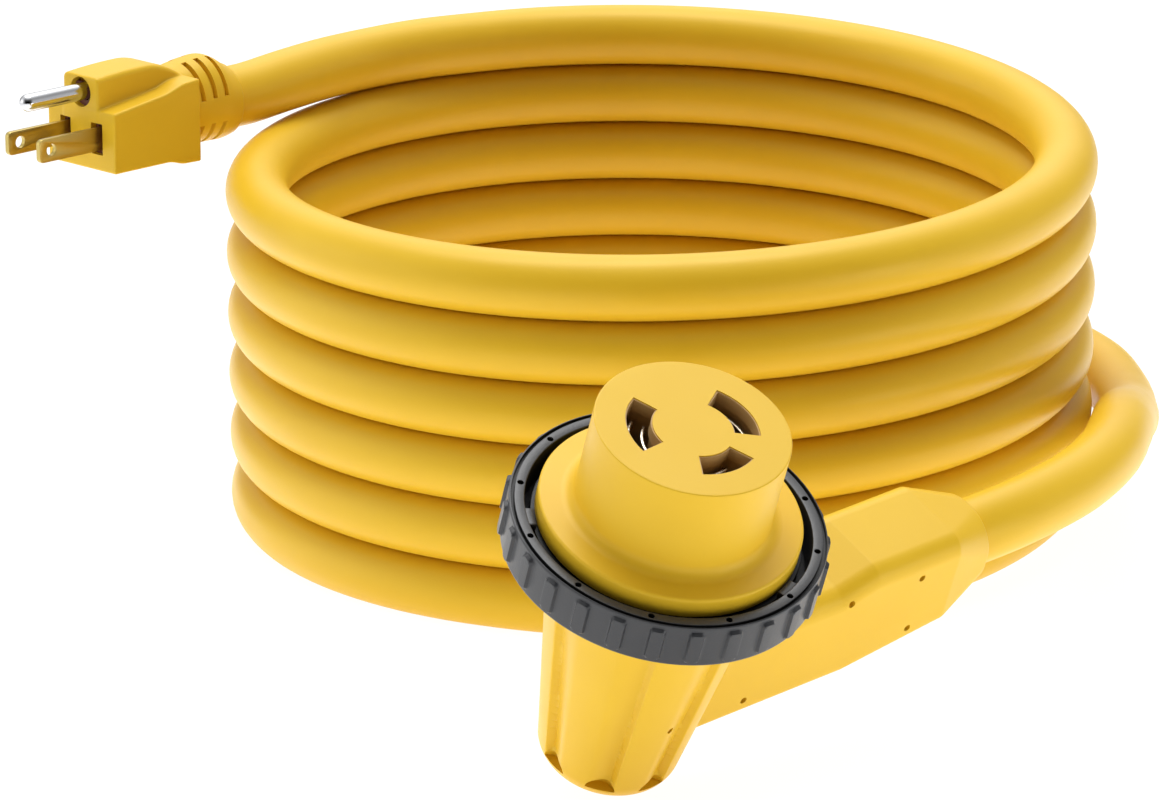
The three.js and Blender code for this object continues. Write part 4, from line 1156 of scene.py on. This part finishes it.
def lit_floor(tree, light, shade):
    """A floor that glows by an emission node and takes a little light and shadow."""
    soft = tree.nodes.new("ShaderNodeBsdfDiffuse")
    soft.inputs["Color"].default_value = (shade, shade, shade, 1)
    both = tree.nodes.new("ShaderNodeAddShader")
    tree.links.new(light.outputs[0], both.inputs[0])
    tree.links.new(soft.outputs[0], both.inputs[1])
    return both.outputs[0]


def backdrop_material(name):
    """White to the eye, with only the faintest shadow of the object. Its light on the object is
    that of a pale floor which glows a little, like the diffuser of a photo table."""
    material = bpy.data.materials.new(name)
    material.use_nodes = True
    tree = material.node_tree
    tree.nodes.remove(tree.nodes["Principled BSDF"])
    real_light = tree.nodes.new("ShaderNodeEmission")
    tree.links.new(fading_glow(tree), real_light.inputs["Strength"])
    seen_light = tree.nodes.new("ShaderNodeEmission")
    seen_light.inputs["Color"].default_value = (SEEN_GLOW, SEEN_GLOW, SEEN_GLOW, 1)
    mix = tree.nodes.new("ShaderNodeMixShader")
    tree.links.new(seen_by_eye(tree), mix.inputs[0])
    tree.links.new(lit_floor(tree, real_light, FLOOR_SHADE), mix.inputs[1])
    tree.links.new(lit_floor(tree, seen_light, SEEN_SHADE), mix.inputs[2])
    tree.links.new(mix.outputs[0], tree.nodes["Material Output"].inputs["Surface"])
    return material


floor_rings = [
    [(radius * x, radius * y + 0.1, -0.0002) for x, y in circle(1, sides=96)]
    for radius in (0.3, 2.0, 6.0)
]
floor_points = np.array(floor_rings).reshape(-1, 3)
floor_faces = [tuple(reversed(face)) for face in strip(3, 96) + [tuple(range(96))[::-1]]]
floor_look = [backdrop_material("floor_white")]
floor = piece("floor", floor_points, floor_faces, Matrix.Identity(4), floor_look)

world = bpy.data.worlds.new("studio")
bpy.context.scene.world = world
world.use_nodes = True
tree = world.node_tree
direction = tree.nodes.new("ShaderNodeTexCoord").outputs["Generated"]


def glow_from(direction, way, strength, total):
    """Adds to total a soft light all over the sky round one direction."""
    facing = tree.nodes.new("ShaderNodeVectorMath")
    facing.operation = "DOT_PRODUCT"
    tree.links.new(direction, facing.inputs[0])
    facing.inputs[1].default_value = Vector(way).normalized()
    front = tree.nodes.new("ShaderNodeMath")
    front.operation = "MAXIMUM"
    tree.links.new(facing.outputs["Value"], front.inputs[0])
    front.inputs[1].default_value = 0.0
    narrow = tree.nodes.new("ShaderNodeMath")
    narrow.operation = "POWER"
    tree.links.new(front.outputs[0], narrow.inputs[0])
    narrow.inputs[1].default_value = LOBE_POWER
    added = tree.nodes.new("ShaderNodeMath")
    added.operation = "MULTIPLY_ADD"
    tree.links.new(narrow.outputs[0], added.inputs[0])
    added.inputs[1].default_value = strength
    if total is None:
        added.inputs[2].default_value = 0.0
    else:
        tree.links.new(total, added.inputs[2])
    return added.outputs[0]


total = None
for way, strength in SKY_LOBES:
    total = glow_from(direction, way, strength, total)
sky = tree.nodes.new("ShaderNodeBackground")
sky.inputs["Color"].default_value = (1, 1, 1, 1)
tree.links.new(total, sky.inputs["Strength"])
seen_sky = tree.nodes["Background"]
seen_sky.inputs["Color"].default_value = (1, 1, 1, 1)
seen_sky.inputs["Strength"].default_value = 1.0
choice = tree.nodes.new("ShaderNodeMixShader")
tree.links.new(seen_by_eye(tree), choice.inputs[0])
tree.links.new(sky.outputs[0], choice.inputs[1])
tree.links.new(seen_sky.outputs[0], choice.inputs[2])
tree.links.new(choice.outputs[0], tree.nodes["World Output"].inputs["Surface"])


def lamp(name, place, target, size, power):
    """A soft rectangular lamp. Places and sizes are in metres, and its power is in watts."""
    data = bpy.data.lights.new(name, "AREA")
    data.shape = "RECTANGLE"
    data.size, data.size_y = size
    data.energy = power
    thing = bpy.data.objects.new(name, data)
    bpy.context.scene.collection.objects.link(thing)
    way = Vector(target) - Vector(place)
    thing.location = place
    thing.rotation_euler = way.to_track_quat("-Z", "Y").to_euler()


lamp("over", (-0.15, 0.45, 1.3), (-0.02, 0.1, 0.0), (0.9, 0.5), 8.6)
lamp("low_right", (0.60, -0.25, 0.04), (0.06, 0.03, 0.05), (0.3, 0.2), 0.9)

bpy.context.scene.view_settings.view_transform = "Standard"
